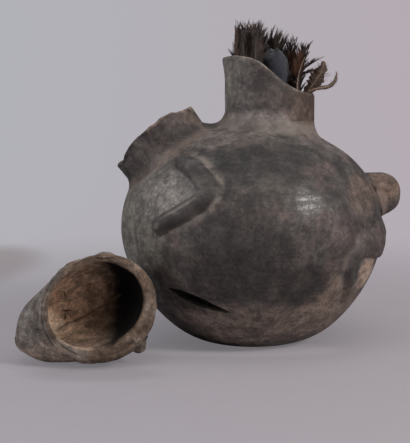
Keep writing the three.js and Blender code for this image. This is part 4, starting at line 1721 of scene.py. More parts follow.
@dataclass(frozen=True)
class Tail:
    """The tail, a flat round lobe with a thumb mark that opens down towards the body."""

    wall: Wall
    level: float = 0.363
    lobe: float = 17.5 * MM
    stand: float = 22.3 * MM
    thickness: float = 18 * MM
    thumb: Pair = (-4.5 * MM, -5.5 * MM)
    thumb_radius: float = 12 * MM
    thumb_depth: float = 2.6 * MM
    straight_rows: int = 39
    round_rows: int = 45
    columns: int = 128

    def centre(self) -> Place:
        """Finds the lobe's middle.

        Returns:
            How far out the wall is there, the middle's place along +X and its height.
        """
        height = float(self.wall.height(np.array(self.level)))
        root = float(self.wall.radius(np.array(height)))
        return root, root + self.stand - self.lobe, height

    def surface(self) -> Surface:
        """Carries a flat-sided oval outwards: full to the lobe's middle, then cos t high at sin t out.

        Near the wall it is let out by a share of e^(-distance), and the thumb mark sinks its near
        face along a smooth step.

        Returns:
            The lobe.
        """
        root, centre, height = self.centre()
        arc = np.linspace(0, np.pi / 2, self.round_rows, endpoint=False)
        straight = np.linspace(root - 16 * MM, centre, self.straight_rows, endpoint=False)
        x = np.concatenate([straight, centre + self.lobe * np.sin(arc)])
        share = np.concatenate([np.ones(self.straight_rows), np.cos(arc)])[:, None]
        turn = turns(self.columns)
        oval = [np.sign(w) * np.abs(w) ** power for w, power in ((np.cos(turn), 0.42), (np.sin(turn), 0.85))]
        grid = np.stack([
            x[:, None] + 0 * turn, self.thickness / 2 * share**0.45 * oval[0],
            height + self.lobe * share * oval[1]], -1)
        gap, _ = self.wall.distance(grid)
        near = np.exp(-np.clip(gap, 0, None) / (6.5 * MM)) * smooth(-14 * MM, -2 * MM, gap)
        grid[..., 1] *= 1 + 2.0 * near**1.4
        low = np.clip((height - grid[..., 2]) / self.lobe, 0, 1)
        grid[..., 0] += np.clip(grid[..., 0] - centre, 0, None) * 0.35 * low**2
        grid[..., 2] = height + (grid[..., 2] - height) * (1 + 0.10 * near) - 2.5 * MM * near
        sunk = self.thumb_depth * smooth(1.15, 0.5, self.from_thumb(grid))
        grid[..., 1] += sunk * (grid[..., 1] < 0) * smooth(0.2, 0.6, share)
        grid += normals_of(grid) * bumps(grid, 0.4, 9, 97, 3)[..., None]
        return capped_surface(grid)

    def from_thumb(self, points: Array) -> Array:
        """Finds how far points lie from the thumb mark's middle, counted mostly outwards and upwards.

        Args:
            points: the points.

        Returns:
            The distances, in radii of the mark.
        """
        _, centre, height = self.centre()
        out = points[..., 0] - centre - self.thumb[0]
        up = points[..., 2] - height - self.thumb[1]
        away = np.hypot(np.where(out < 0, 0.25, 1.0) * out, np.where(up < 0, 0.35, 1.0) * up)
        return away / self.thumb_radius

    def build(self, dress: Dress) -> None:
        """Builds and dresses the tail.

        Args:
            dress: its clay.
        """
        piece = mesh_object("tail_lobe", self.surface())
        points = points_of(piece)
        away = self.from_thumb(points)
        near_face = points[:, 1] < 0
        dress.put_on(piece, ["tail"], {
            # Painted shade round the thumb mark's rim
            Paint.GROOVE_SHADE: 0.3 * bell((away - 0.9) / 0.2) * near_face,
            Paint.HALO: 0.7 * smooth(1.0, 0.5, away) * near_face,
            Paint.SOOT: 0.15 * smooth(1.0, 1.25, away) * smooth(111 * MM, 118 * MM, points[:, 0])})


# The head


@dataclass(frozen=True)
class Head:
    """The hollow head, broken off at its neck, with a scalloped band and two small ears.

    Its own frame has +X to the snout, +Y to one ear and +Z out of the neck opening.
    """

    wall: Pair = (6.4 * MM, 9.8 * MM)
    shift: Pair = (3.0 * MM, -4.8 * MM)
    front: tuple[Pair, ...] = ((46, 0), (50, -7), (57, -9), (65, -13), (71, -19), (74, -27))
    back: tuple[Pair, ...] = ((-44, 0), (-44.5, -22), (-33, -46), (-6, -63), (32, -65), (73, -33))
    half_width: tuple[float, ...] = (42.5, 41.5, 38, 32, 24.5, 6)
    snout: Place = (-0.9, -0.06, -0.42)
    opening: Place = (0.2, -0.97, 0.08)
    columns: int = 260
    outer_rows: int = 90
    lip_rows: int = 26
    inner_rows: int = 70
    deep_rows: int = 14
    band_rows: int = 340
    band_columns: int = 14
    ear_rows: int = 34
    ear_columns: int = 64
    band_share: float = 0.13
    band_radius: float = 2.6 * MM
    band_turn: Pair = (-92, 93)
    scallops: int = 17
    ear_place: Pair = (-20 * MM, -9 * MM)
    right_ear_shift: float = 7 * MM
    ear_radius: float = 5.4 * MM
    hollow_share: float = 0.84
    # The crack's way down the hollow: share of the rails, then degrees round
    crack_knots: tuple[Pair, ...] = (
        (0.775, 228), (0.735, 218.5), (0.681, 217), (0.621, 213), (0.557, 207), (0.482, 201), (0.43, 196))

    def ring(self, share: Array, turn: Array, inset: Pair = (0, 0), shift: Pair = (0, 0)) -> Array:
        """Gives points of the shell: an ellipse between the front and the back rail.

        Args:
            share: shares of the way along the rails.
            turn: angles round the ring in radians, from the front rail.
            inset: how far the ring is drawn in along +X and +Y.
            shift: how far it is moved along +X and +Y.

        Returns:
            Points in the head's own frame.
        """
        front, back = (catmull(rail, share) * MM for rail in (self.front, self.back))
        half = catmull(self.half_width, share)[..., 0] * MM - inset[1]
        middle, reach = (front + back) / 2, (front - back) / 2
        length = np.linalg.norm(reach, axis=-1, keepdims=True)
        reach = reach * (length - inset[0]) / length
        return np.stack([
            middle[..., 0] + reach[..., 0] * np.cos(turn) + shift[0],
            -half * np.sin(turn) + shift[1],
            middle[..., 1] + reach[..., 1] * np.cos(turn)], -1)

    def basis(self) -> Array:
        """Gives the directions of the head's own axes as it lies.

        Returns:
            One row for each axis.
        """
        up = unit(np.array(self.opening))
        side = unit(np.cross(up, np.array(self.snout)))
        return np.stack([np.cross(side, up), side, up])

    def place(self) -> Array:
        """Finds where the head's own origin lies, from the box of its node.

        Returns:
            The point.
        """
        outside = self.ring(np.linspace(0, 1, 60)[:, None], np.linspace(0, 2 * np.pi, 90)) @ self.basis()
        low, high = (np.array(corner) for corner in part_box("head_shell"))
        return (low + high - outside.min((0, 1)) - outside.max((0, 1))) / 2

    def laid(self, points: Array) -> Array:
        """Carries points from the head's own frame to where it lies, pressed flat on the table.

        Args:
            points: points in the head's own frame.

        Returns:
            The points as they lie.
        """
        there = points @ self.basis() + self.place()
        there[..., 2] = np.maximum(there[..., 2], 0.0)
        return there

    def lumps(self, points: Array) -> Array:
        """Gives the hand-built shell's departure from its curve."""
        return bumps(points, 0.75, 23, 101) + bumps(points, 0.4, 8, 103, 3)

    def drawn_in(self, ring: Array, shares: Array) -> Array:
        """Gives a ring again at shares of its size, about its own middle."""
        return ring.mean(0) + (ring - ring.mean(0)) * shares[:, None, None]

    def lip(self, outer: Array, inner: Array) -> Array:
        """Rolls the broken edge over from the outer face to the hollow, with a fold along it.

        Args:
            outer: the outer face's last row.
            inner: the hollow's first row.

        Returns:
            The lip's rows.
        """
        arc = np.linspace(0, np.pi, self.lip_rows + 2)[1:-1][:, None, None]
        across = (1 - np.cos(arc)) / 2
        width = np.linalg.norm(inner - outer, axis=-1)[:, None]
        fold = bell((across - 0.42 - 0.12 * noise(outer, 21 * MM, 115)[:, None]) / 0.10)
        depth = 0.03 + 0.10 * noise(outer, 13 * MM, 111)[:, None]
        rise = width * (0.27 * np.sin(arc) - depth.clip(0) * fold)
        return outer + (inner - outer) * across + np.array([0, 0, 1.0]) * rise

    def shell(self) -> tuple[Array, Array, Array]:
        """Builds the shell from the snout over the lip to the bottom of the hollow.

        Returns:
            Points as row and place round the ring, how far inside each row is from 0 to 1, and
            how close to the lip it is.
        """
        turn = turns(self.columns)
        outer_share = 1 - np.linspace(0, 1, self.outer_rows) ** 1.15
        inner_share = self.hollow_share * np.linspace(0, 1, self.inner_rows) ** 1.1
        outer = self.ring(outer_share[:, None], turn)
        inner = self.ring(inner_share[:, None], turn, self.wall, self.shift)
        tip = self.drawn_in(outer[0], np.array([0.25, 0.6, 0.85]))
        tip[:2] += np.array([1.2, 0, -0.6]) * MM * np.array([1.0, 0.6])[:, None, None]
        shares = np.linspace(0.93, 0.08, self.deep_rows)
        ahead = unit((inner[-1] - inner[-3]).mean(0))
        deep = self.drawn_in(inner[-1], shares) + ahead * np.sqrt(1 - shares**2)[:, None, None] * 3.5 * MM
        rows = np.concatenate([tip, outer, self.lip(outer[-1], inner[0]), inner, deep])
        inside = np.concatenate([
            np.zeros(len(tip) + len(outer)), smooth(0.5, 0.95, np.linspace(0, 1, self.lip_rows)),
            np.ones(len(inner) + len(deep))])[:, None]
        near_lip = np.concatenate([
            np.zeros(len(tip)), smooth(0.055, 0.0, outer_share), np.ones(self.lip_rows),
            smooth(0.05, 0.0, inner_share), np.zeros(len(deep))])[:, None]
        way = normals_of(rows)
        way = way * np.sign(np.einsum("ijk,ijk->ij", way, rows - rows[20:80].mean((0, 1)))[10:60].sum())
        uneven = self.lumps(rows) * np.where(inside < 0.5, 1.0, 0.9)
        ridges = np.sin(rows @ np.array([0.25, 0.1, 1.0]) / (3.1 * MM) + 3 * noise(rows, 15 * MM, 107))
        uneven = uneven + 0.12 * MM * ridges * inside * (1 - near_lip)
        rows = rows + way * (uneven + near_lip * bumps(rows, 0.6, 5, 109, 3))[..., None]
        rows[..., 2] += near_lip * bumps(rows * (1, 1, 0), 1.3, 17, 113)
        return rows, inside, near_lip

    def crack(self) -> Array:
        """Gives the crack's line on the hollow's wall."""
        knots = catmull(self.crack_knots, np.linspace(0, 1, 60))
        return self.ring(knots[:, 0], np.radians(knots[:, 1]), self.wall, self.shift)

    def on_shell(self, share: Array, turn: Array, out: Array | float) -> Array:
        """Gives points that stand out from the shell's outer face.

        Args:
            share: shares of the way along the rails.
            turn: angles round the ring, in radians.
            out: how far out they stand.

        Returns:
            The points, in the head's own frame.
        """
        step = 1e-3
        point = self.ring(share, turn)
        along = self.ring(share + step, turn) - self.ring(np.maximum(share - step, 0), turn)
        across = self.ring(share, turn + step) - self.ring(share, turn - step)
        way = unit(np.cross(across, along))
        centre = self.ring(share, 0 * turn) / 2 + self.ring(share, 0 * turn + np.pi) / 2
        way = way * np.sign(np.einsum("...k,...k->...", way, point - centre))[..., None]
        return point + way * (self.lumps(point) + out)[..., None]

    def band(self) -> Surface:
        """Carries a flattened round section round the front of the opening.

        Its radius swells and sinks as a row of thumb presses: r (0.72 + 0.24 |cos|).

        Returns:
            The band as it lies.
        """
        place = np.linspace(0, 1, self.band_rows)[:, None]
        turn = np.radians(self.band_turn[0] + place * (self.band_turn[1] - self.band_turn[0]))
        around = turns(self.band_columns)
        press = np.abs(np.cos(place * self.scallops * np.pi))
        ends = np.clip(np.minimum(place, 1 - place) * 14, 0.05, 1) ** 0.5
        low_end = 1 - 0.5 * smooth(0.45, 0.1, place)
        radius = self.band_radius * ends * low_end * (0.72 + 0.24 * press)
        share = self.band_share + radius / (70 * MM) * np.sin(around)
        return capped_surface(self.laid(self.on_shell(share, turn, radius * np.cos(around) * 0.95)))

    def ear(self, side: int, height: float, length: float) -> Surface:
        """Builds an ear: a pinched lug whose foot spreads into the shell.

        Args:
            side: 1 for the right ear, -1 for the left one.
            height: how far it stands out.
            length: its half length along the rim, for a half thickness of ear_radius.

        Returns:
            The ear as it lies.
        """
        right = max(side, 0)
        x, z = self.ear_place
        share = np.clip(-z / (22 * MM) * 0.2, 0.02, 0.3)
        turn = math.acos(np.clip((x + right * self.right_ear_shift - 1 * MM) / (45 * MM), -1, 1)) * (-side)
        middle, above = (self.on_shell(np.array(share), np.array(turn), out) for out in (0, 1 * MM))
        way = unit(unit(above - middle) - right * 0.6 * self.basis()[:, 2])
        first = unit(np.cross(way, np.array([0, 0, 1.0])))
        second = np.cross(way, first)
        t = np.linspace(0, 1, self.ear_rows)[:, None]
        around = turns(self.ear_columns)
        rise = (height + 2.2 * MM) * np.sin(t * np.pi / 2) - 2.2 * MM
        radius = np.maximum(np.cos(t * np.pi / 2) ** 0.62 * (1 + 0.7 * (1 - t) ** 4), 0.01)
        radius = radius * (1 + 0.06 * np.cos(2 * around + 1) + 0.04 * np.cos(3 * around))
        grid = middle + way * rise[..., None] + first * (length * radius * np.cos(around))[..., None]
        grid = grid + second * (self.ear_radius * radius * np.sin(around))[..., None]
        grid = grid + normals_of(grid) * bumps(grid, 0.35, 5, 117)[..., None]
        return capped_surface(self.laid(grid))

    def build(self, dress: Dress) -> None:
        """Builds and dresses the head's pieces.

        Args:
            dress: their clay. The band's copy of it names the grey slot, which nothing reads.
        """
        rows, inside, near_lip = self.shell()
        # The crack is sunk into the wall and painted dark as the shade in it
        away, _ = nearest(rows.reshape(-1, 3), self.crack())
        split = bell(away / (0.9 * MM)) * (np.repeat(inside, self.columns) > 0.9)
        rows = rows + normals_of(rows) * (0.9 * MM * split).reshape(rows.shape[:2])[..., None]
        surface = capped_surface(self.laid(rows))
        low = smooth(30 * MM, 14 * MM, surface.points[:-2, 2])
        dress.put_on(mesh_object("head_hollow_shell", surface), ["head_shell"], {
            Paint.INSIDE: np.append(np.repeat(smooth(0.55, 1.0, inside), self.columns), [0, 1]),
            Paint.EDGE: np.append(np.repeat(near_lip, self.columns) * (0.75 - 0.4 * low), [0, 0]),
            Paint.GROOVE_SHADE: np.append(split, [0, 0])})
        band = mesh_object("head_neckband", self.band())
        worn = {Paint.EDGE: np.full(len(band.data.vertices), 0.5)}
        replace(dress, slot=Slot.GREY_CLAY).put_on(band, ["head_band"], worn)
        for name, node, side, height, length in (
                ("right_ear", "ear_right", 1, 7.0, 6.0), ("left_ear", "ear_left", -1, 1.8, 7.0)):
            dress.put_on(mesh_object(name, self.ear(side, height * MM, length * MM)), [node], {})


# The stopper

VANE_SIDES = 10
BARB_SIDES = 3


def followed(path: Array, share: Array) -> Array:
    """Gives points of a path at shares of its stops."""
    return np.stack([np.interp(share, np.linspace(0, 1, len(path)), path[:, k]) for k in range(3)], -1)


@dataclass(frozen=True)
class Cloth:
    """The wad of cloth: a bung in the bore, drawn up into a folded column with a frayed end."""

    neck: Neck
    lift: float = 4 * MM
    bung_height: float = 15 * MM
    bung_round: float = 5 * MM
    rise: float = 12 * MM
    angle: float = 281.3
    offset: float = 12.75 * MM
    radius: float = 13.4 * MM
    folds: int = 4
    rows: int = 190
    columns: int = 220
    threads: int = 40
    frayed_from: int = 150

    def surface(self) -> tuple[Array, Array]:
        """Builds the wad from its underside to its top.

        A ring's radius is its own radius less a crease at every fold, |sin(n a / 2)|^0.9 deep,
        whose place drifts as the ring rises.

        Returns:
            Points as row and place round the ring, and how far out on a fold each is.
        """
        bottom = self.neck.wall.crown_height + self.lift
        shelf = bottom + self.bung_height
        top = self.neck.top + self.rise - 6 * MM
        bung = self.neck.bore - 0.4 * MM
        column = top - shelf
        knots = np.array([
            (bottom, bung - self.bung_round, 0), (bottom + self.bung_round, bung, 0),
            (shelf - 2 * MM, bung, 0), (shelf, bung - 2 * MM, 0.1),
            (shelf + 0.4 * MM, self.radius + 3 * MM, 0.8),
            (shelf + 5 * MM, self.radius, 1), (shelf + column * 0.27, self.radius * 0.97, 1),
            (shelf + column * 0.54, self.radius * 1.02, 1), (shelf + column * 0.80, self.radius * 0.88, 1),
            (shelf + column * 0.93, self.radius * 0.60, 1), (top, self.radius * 0.22, 1)])
        rings = followed(knots, np.linspace(0, 1, self.rows))
        rounded = np.convolve(np.pad(rings[:, 1], 12, mode="edge"), np.full(25, 1 / 25), "valid")
        rings[:, 1] = np.where(rings[:, 2] > 0.99, rounded, rings[:, 1])
        height, radius, share = (rings[:, k][:, None] for k in range(3))
        turn = turns(self.columns)
        up = height - shelf
        drift = 0.9 * np.sin(up / (17 * MM)) + 0.5 * np.sin(up / (7 * MM) + turn)
        fold = np.abs(np.sin((self.folds * turn + drift * 2) / 2)) ** 0.9
        minor = np.abs(np.sin((self.folds * 2.0 * turn - drift * 3) / 2)) ** 0.8
        depth = share * (0.12 * (1 - fold) + 0.015 * (1 - minor)) + (1 - share) * 0.03 * (1 - minor)
        lean = math.radians(self.angle)
        bow = 2.2 * MM * share * np.sin(up / (15 * MM))
        grid = turned(radius * (1 - depth), turn, height)
        grid[..., 0] += self.neck.x + self.offset * share * math.cos(lean) + bow
        grid[..., 1] += self.offset * share * math.sin(lean)
        grid[..., 2] += 1.5 * MM * share * np.cos(turn * 2 + 1) * smooth(0.8, 1, up / column)
        crumple = bumps(grid, 1.1, 10, 121, 3) * np.clip(share, 0.3, 1)
        return grid + normals_of(grid) * crumple[..., None], fold

    def fringe(self, grid: Array) -> Array:
        """Grows loose threads from the column's end: they leave it outwards and bend over.

        Args:
            grid: the wad's points.

        Returns:
            Points as thread, stop.
        """
        rng = np.random.default_rng(131)
        row = rng.integers(self.frayed_from, len(grid) - 2, self.threads)
        root = grid[row, rng.integers(0, self.columns, self.threads)]
        length = rng.uniform(1.5, 4, self.threads)[:, None, None] * MM
        q = np.linspace(0, 1, 7)[None, :, None]
        bend_over = unit(rng.normal(0, 1, (self.threads, 3)) + (-0.6, 0, 0.4))
        run = unit(unit(root - grid[row].mean(1)) + (0, 0, 0.9))
        return root[:, None] + length * (run[:, None] * q + 0.7 * bend_over[:, None] * q**2)

    def lay_weave(self, piece: Piece, grid: Array, quads: int, threads: Surface) -> None:
        """Maps the weave: the run round the column, and the run up its surface.

        Quads that close a ring are carried once round, so that the weave isn't drawn backwards.

        Args:
            piece: the wad.
            grid: its points.
            quads: how many quads they have.
            threads: its loose threads.
        """
        half_round = math.pi * self.radius
        travel = np.concatenate([[0], np.cumsum(np.linalg.norm(np.diff(grid, axis=0), axis=-1).mean(1))])
        uv = np.stack([
            np.tile(turns(self.columns) * self.radius, len(grid)), np.repeat(travel, self.columns)], -1)
        uv = np.vstack([uv, [[0, 0], [0, travel[-1]]], threads.points[:, :2]])
        mesh = piece.data
        corners = np.zeros(len(mesh.loops), np.int32)
        mesh.loops.foreach_get("vertex_index", corners)
        uv = uv[corners]
        body = uv[: quads * 4].reshape(-1, 4, 2)
        wraps = np.ptp(body[..., 0], axis=1) > half_round
        body[..., 0] += (body[..., 0] < half_round) * wraps[:, None] * 2 * half_round
        mesh.uv_layers.new(name="weave").data.foreach_set("uv", uv.astype(np.float32).ravel())

    def build(self, dress: Dress) -> None:
        """Builds and dresses the wad.

        Args:
            dress: its cloth.
        """
        grid, fold = self.surface()
        lines = self.fringe(grid)
        threads = tubes(lines, 0.17 * MM + 0 * lines[..., 0], 4)
        body = capped_surface(grid)
        piece = mesh_object("cloth_plug", joined(body, threads))
        self.lay_weave(piece, grid, len(body.quads), threads)
        on_folds = np.concatenate([smooth(0.8, 1.0, fold).ravel(), [0, 0], np.full(len(threads.points), 0.5)])
        dress.put_on(piece, ["cloth_wad"], {Paint.EDGE: on_folds}, 70)


def plume(name: str, parts: Sequence[Surface], horny: Place, along: Sequence) -> tuple[Piece, dict]:
    """Joins a feather's shaft, vane and barbs, and works out their masks.

    Args:
        name: the piece's name.
        parts: the three surfaces.
        horny: how horny each is.
        along: how far along a barb each is, as one value or one for each point.

    Returns:
        The piece and its masks.
    """
    sizes = [len(part.points) for part in parts]
    run = np.concatenate([share + np.zeros(size) for share, size in zip(along, sizes)])
    return mesh_object(name, joined(*parts)), {Paint.SHAFT: np.repeat(horny, sizes), Paint.ALONG: run}


@dataclass(frozen=True)
class Feather:
    """One frayed feather, which stands where its node does.

    Its line runs from the node's foot through its middle to its tip. A narrow vane covers the
    shaft's sides, and barbs hang together in spiky tufts, which hook over at their ends.
    """

    node: str
    seed: int
    axis_x: float
    quill: float
    barbs: int = 190
    stops: int = 24
    lean: Place = (-0.45, -0.05, 0.05)
    # How high the shafts end, from the front of the animal to its back: place, then height
    crown: tuple[Pair, ...] = ((-16, 270), (-5, 271), (5, 271), (20, 267), (33, 261), (46, 250), (55, 237))
    barb_taper: tuple[float, ...] = (1.0, 1.0, 1.0, 0.9, 0.7, 0.45, 0.12)

    def line(self) -> tuple[Array, float, Array, Array]:
        """Reads the feather's line from its node.

        Returns:
            The line, its half width, and the directions across it and out of the plume.
        """
        points = points_of(frame["nodes"][self.node])
        low, high = points[:, 2].min(), points[:, 2].max()
        share = (points[:, 2] - low) / (high - low)
        foot = points[share < 0.01].mean(0)
        middle = points[np.abs(share - 0.62) < 0.13]
        tip = points[share > 0.9].mean(0)
        tip[0] = max(tip[0], -14.5 * MM)
        ceiling = np.interp(tip[0] / MM, *zip(*self.crown)) * MM
        tip[2] = np.clip(ceiling, high - 13 * MM, high + 4 * MM)
        centre = (middle.min(0) + middle.max(0)) / 2
        turn = math.atan2(foot[1], foot[0] - self.axis_x)
        out = np.array([math.cos(turn), math.sin(turn), 0])
        across = np.array([-math.sin(turn), math.cos(turn), 0])
        t = np.linspace(0, 1, self.stops)[:, None]
        t_middle = (centre[2] - foot[2]) / (tip[2] - foot[2])
        bow = (centre - foot - (tip - foot) * t_middle) / (t_middle * (1 - t_middle))
        return foot + (tip - foot) * t + bow * t * (1 - t), float(np.ptp(points @ across) / 2), across, out

    def vane(self, line: Array, half: float, across: Array, out: Array) -> Array:
        """Builds the narrow vane: a flat oval section, widest a third of the way up, with a wavy edge.

        Args:
            line: the feather's line.
            half: its half width.
            across: the direction across it.
            out: the direction out of the plume.

        Returns:
            Points as row and place round the section.
        """
        t = np.linspace(0.12, 0.88, 30)
        spine = followed(line, t)[:, None]
        turn = turns(VANE_SIDES)
        width = half * 0.55 * np.sin(np.clip((t - 0.08) / 0.25, 0, 1) * np.pi / 2) * (1 - 0.6 * t**3)
        wave = 1 + 0.3 * noise(spine + across * np.cos(turn)[:, None] * half, 5 * MM, self.seed)
        side = (width[:, None] * wave * np.cos(turn))[..., None] * across
        return spine + side + (0.28 * MM * np.sin(turn) - 0.9 * MM * np.cos(turn) ** 2)[:, None] * out

    def barb_lines(self, line: Array, half: float, across: Array, out: Array) -> Array:
        """Grows barbs from both sides of the shaft.

        A barb leaves the shaft at an angle that closes towards the tip, bends along the shaft by
        the square of its run, and leans with its tuft by the cube. Barbs of a tuft are drawn to
        its middle tip.

        Args:
            line: the feather's line.
            half: its half width.
            across: the direction across it.
            out: the direction out of the plume.

        Returns:
            Points as barb, stop.
        """
        rng = np.random.default_rng(self.seed)
        count = self.barbs * 2
        side = np.repeat([-1.0, 1.0], self.barbs)
        start = (np.tile(np.linspace(0.12, 1.0, self.barbs), 2) + rng.normal(0, 0.008, count)).clip(0.1, 1)
        bunch = np.floor(start * 20 + rng.normal(0, 0.25, count)) + 100 * side
        _, tuft = np.unique(bunch, return_inverse=True)
        tufts = tuft.max() + 1
        run = unit(np.gradient(line, axis=0))[(start * (self.stops - 1)).astype(int)]
        angle = 50 - 19 * start**2 + rng.normal(0, 9, tufts)[tuft] + rng.normal(0, 4, count)
        angle = np.radians(angle.clip(8, 72))
        length = half * 1.45 / np.sin(np.maximum(angle, 0.55)) * rng.uniform(0.75, 1.15, tufts)[tuft]
        length = length * rng.uniform(0.8, 1.2, count) * (1 - 0.42 * start**4)
        stray = rng.random(count) < 0.03
        length = np.minimum(np.where(stray, 1.4 * length, length), 13 * MM)[:, None, None]
        q = np.linspace(0, 1, len(self.barb_taper))[None, :, None]
        sideways = (side * np.sin(angle))[:, None] * across
        way = sideways + np.cos(angle)[:, None] * run
        bend_up = 0.25 * run - 0.25 * sideways
        tilt = rng.normal(0, 0.22, tufts)[tuft][:, None] * out
        hook = rng.uniform(0, 0.55, tufts)[tuft][:, None] * np.array(self.lean) * (0.3 + start[:, None])
        bent = way[:, None] * q + bend_up[:, None] * q**2 + (tilt + hook)[:, None] * q**3
        lines = followed(line, start)[:, None] + length * bent
        middle = np.stack([np.bincount(tuft, lines[:, -1, k]) for k in range(3)], -1)
        middle /= np.bincount(tuft)[:, None]
        pull = np.where(stray, 0.0, 0.36)[:, None, None]
        return lines + (middle[tuft] - lines[:, -1])[:, None] * pull * q**2.5

    def build(self, dress: Dress) -> None:
        """Builds and dresses the feather.

        Args:
            dress: its material.
        """
        line, half, across, out = self.line()
        lines = self.barb_lines(line, half, across, out)
        radii = 0.29 * MM * np.array(self.barb_taper) + 0 * lines[..., 0]
        rings = np.repeat(np.linspace(0.2, 1, len(self.barb_taper)), BARB_SIDES)
        rings = np.concatenate([rings, [0.2, 1.0]])
        parts = (
            tubes(line[None], (self.quill * (1 - 0.7 * np.linspace(0, 1, len(line))))[None], 8),
            capped_surface(self.vane(line, half, across, out)), tubes(lines, radii, BARB_SIDES))
        piece, masks = plume(f"plume_{self.node}", parts, (1, 0, 0), (0, 0.15, np.tile(rings, len(lines))))
        dress.put_on(piece, [self.node], masks)


@dataclass(frozen=True)
class StrayQuill:
    """A bent quill that curls out over the low side of the rim, with what is left of its vane.

    Its route, the vane's widths along it and the shaft's two radii are in millimetres.
    """

    node: str
    route: tuple[Place, ...]
    widths: tuple[float, ...]
    shaft: Pair
    twist: Place
    seed: int
    barbs: int = 60
    stops: int = 48
    barb_taper: tuple[float, ...] = (1.0, 1.0, 0.9, 0.7, 0.45, 0.1)

    def vane(self, line: Array, run: Array, across: Array, width: Array) -> Surface:
        """Builds the vane: a flat oval section that bows away from its face, with a ragged edge.

        Args:
            line: the quill's line.
            run: the line's direction at each stop; not used.
            across: the direction across it.
            width: the vane's half width.

        Returns:
            The vane.
        """
        turn = turns(VANE_SIDES)
        edge = line[:, None] + across[:, None] * np.cos(turn)[:, None] * 5 * MM
        wave = 1 + 0.32 * noise(edge, 4 * MM, self.seed) + 0.30 * noise(edge, 1.5 * MM, self.seed + 1)
        side = (np.maximum(width, 0.2 * MM)[:, None] * wave * np.cos(turn))[..., None] * across[:, None]
        bow = 0.3 * MM * np.sin(turn) - width[:, None] * 0.28 * np.cos(turn) ** 2
        return capped_surface(line[:, None] + side + bow[..., None] * unit(np.array(self.twist)))

    def fringe(self, line: Array, run: Array, across: Array, width: Array) -> Array:
        """Grows short straight barbs from both sides of the shaft.

        Args:
            line: the quill's line.
            run: the line's direction at each stop.
            across: the direction across it.
            width: the vane's half width.

        Returns:
            Points as barb, stop.
        """
        rng = np.random.default_rng(self.seed)
        at = (rng.uniform(0.25, 1.0, self.barbs) * (self.stops - 1)).astype(int)
        sign = np.where(rng.random(self.barbs) < 0.5, -1.0, 1.0)[:, None]
        reach = (width[at] + 0.8 * MM) * rng.uniform(0.8, 1.3, self.barbs)
        q = np.linspace(0, 1, len(self.barb_taper))[None, :, None]
        lean = (sign * across[at] + 0.9 * run[at])[:, None]
        return line[at][:, None] + lean * reach[:, None, None] * q

    def build(self, dress: Dress) -> None:
        """Builds and dresses the quill: a tapered tube along its route, a vane and short barbs.

        Args:
            dress: its material.
        """
        share = np.linspace(0, 1, self.stops)
        line = catmull(self.route, share) * MM
        width = np.interp(share, np.linspace(0, 1, len(self.widths)), self.widths) * MM
        run = unit(np.gradient(line, axis=0))
        across = unit(np.cross(run, unit(np.array(self.twist))))
        barbs = self.fringe(line, run, across, width)
        parts = (
            tubes(line[None], np.linspace(*self.shaft, self.stops)[None] * MM, 8),
            self.vane(line, run, across, width),
            tubes(barbs, 0.22 * MM * np.array(self.barb_taper) + 0 * barbs[..., 0], BARB_SIDES))
        tip = np.concatenate([np.repeat(np.linspace(0.8, 0.1, self.stops), VANE_SIDES), [0.8, 0.1]])
        piece, masks = plume(f"curled_{self.node}", parts, (1, 0.25, 0), (0, tip, 0.4))
        dress.put_on(piece, [self.node], masks)


# The studio


@dataclass(frozen=True)
class Lamp:
    """A soft lamp that looks at a point."""

    name: str
    place: Place
    aim: Place
    width: float
    depth: float
    watts: float
    colour: Colour

    def build(self) -> None:
        """Hangs the lamp."""
        light = bpy.data.lights.new(self.name, "AREA")
        light.shape = "RECTANGLE"
        light.size = self.width
        light.size_y = self.depth
        light.energy = self.watts
        light.color = self.colour
        lamp = bpy.data.objects.new(self.name, light)
        lamp.location = self.place
        lamp.rotation_euler = (Vector(self.aim) - Vector(self.place)).to_track_quat("-Z", "Y").to_euler()
        bpy.context.scene.collection.objects.link(lamp)


LAMPS = (
    Lamp("window", (1.31, -1.01, 1.03), (0.04, -0.10, 0.13), 0.34, 0.30, 20, (1.0, 0.96, 0.93)),
    Lamp("ceiling", (0.3, -0.6, 2.2), (0, 0, 0.1), 2.2, 2.2, 18, (1.0, 0.985, 0.97)),
    Lamp("left wall", (-2.0, -1.1, 0.6), (0, 0, 0.1), 1.6, 1.0, 30, (0.97, 0.98, 1.0)),
    Lamp("room front", (-0.2, -2.6, 0.45), (0, 0, 0.1), 2.4, 0.8, 52, (1.0, 0.98, 0.96)),
)


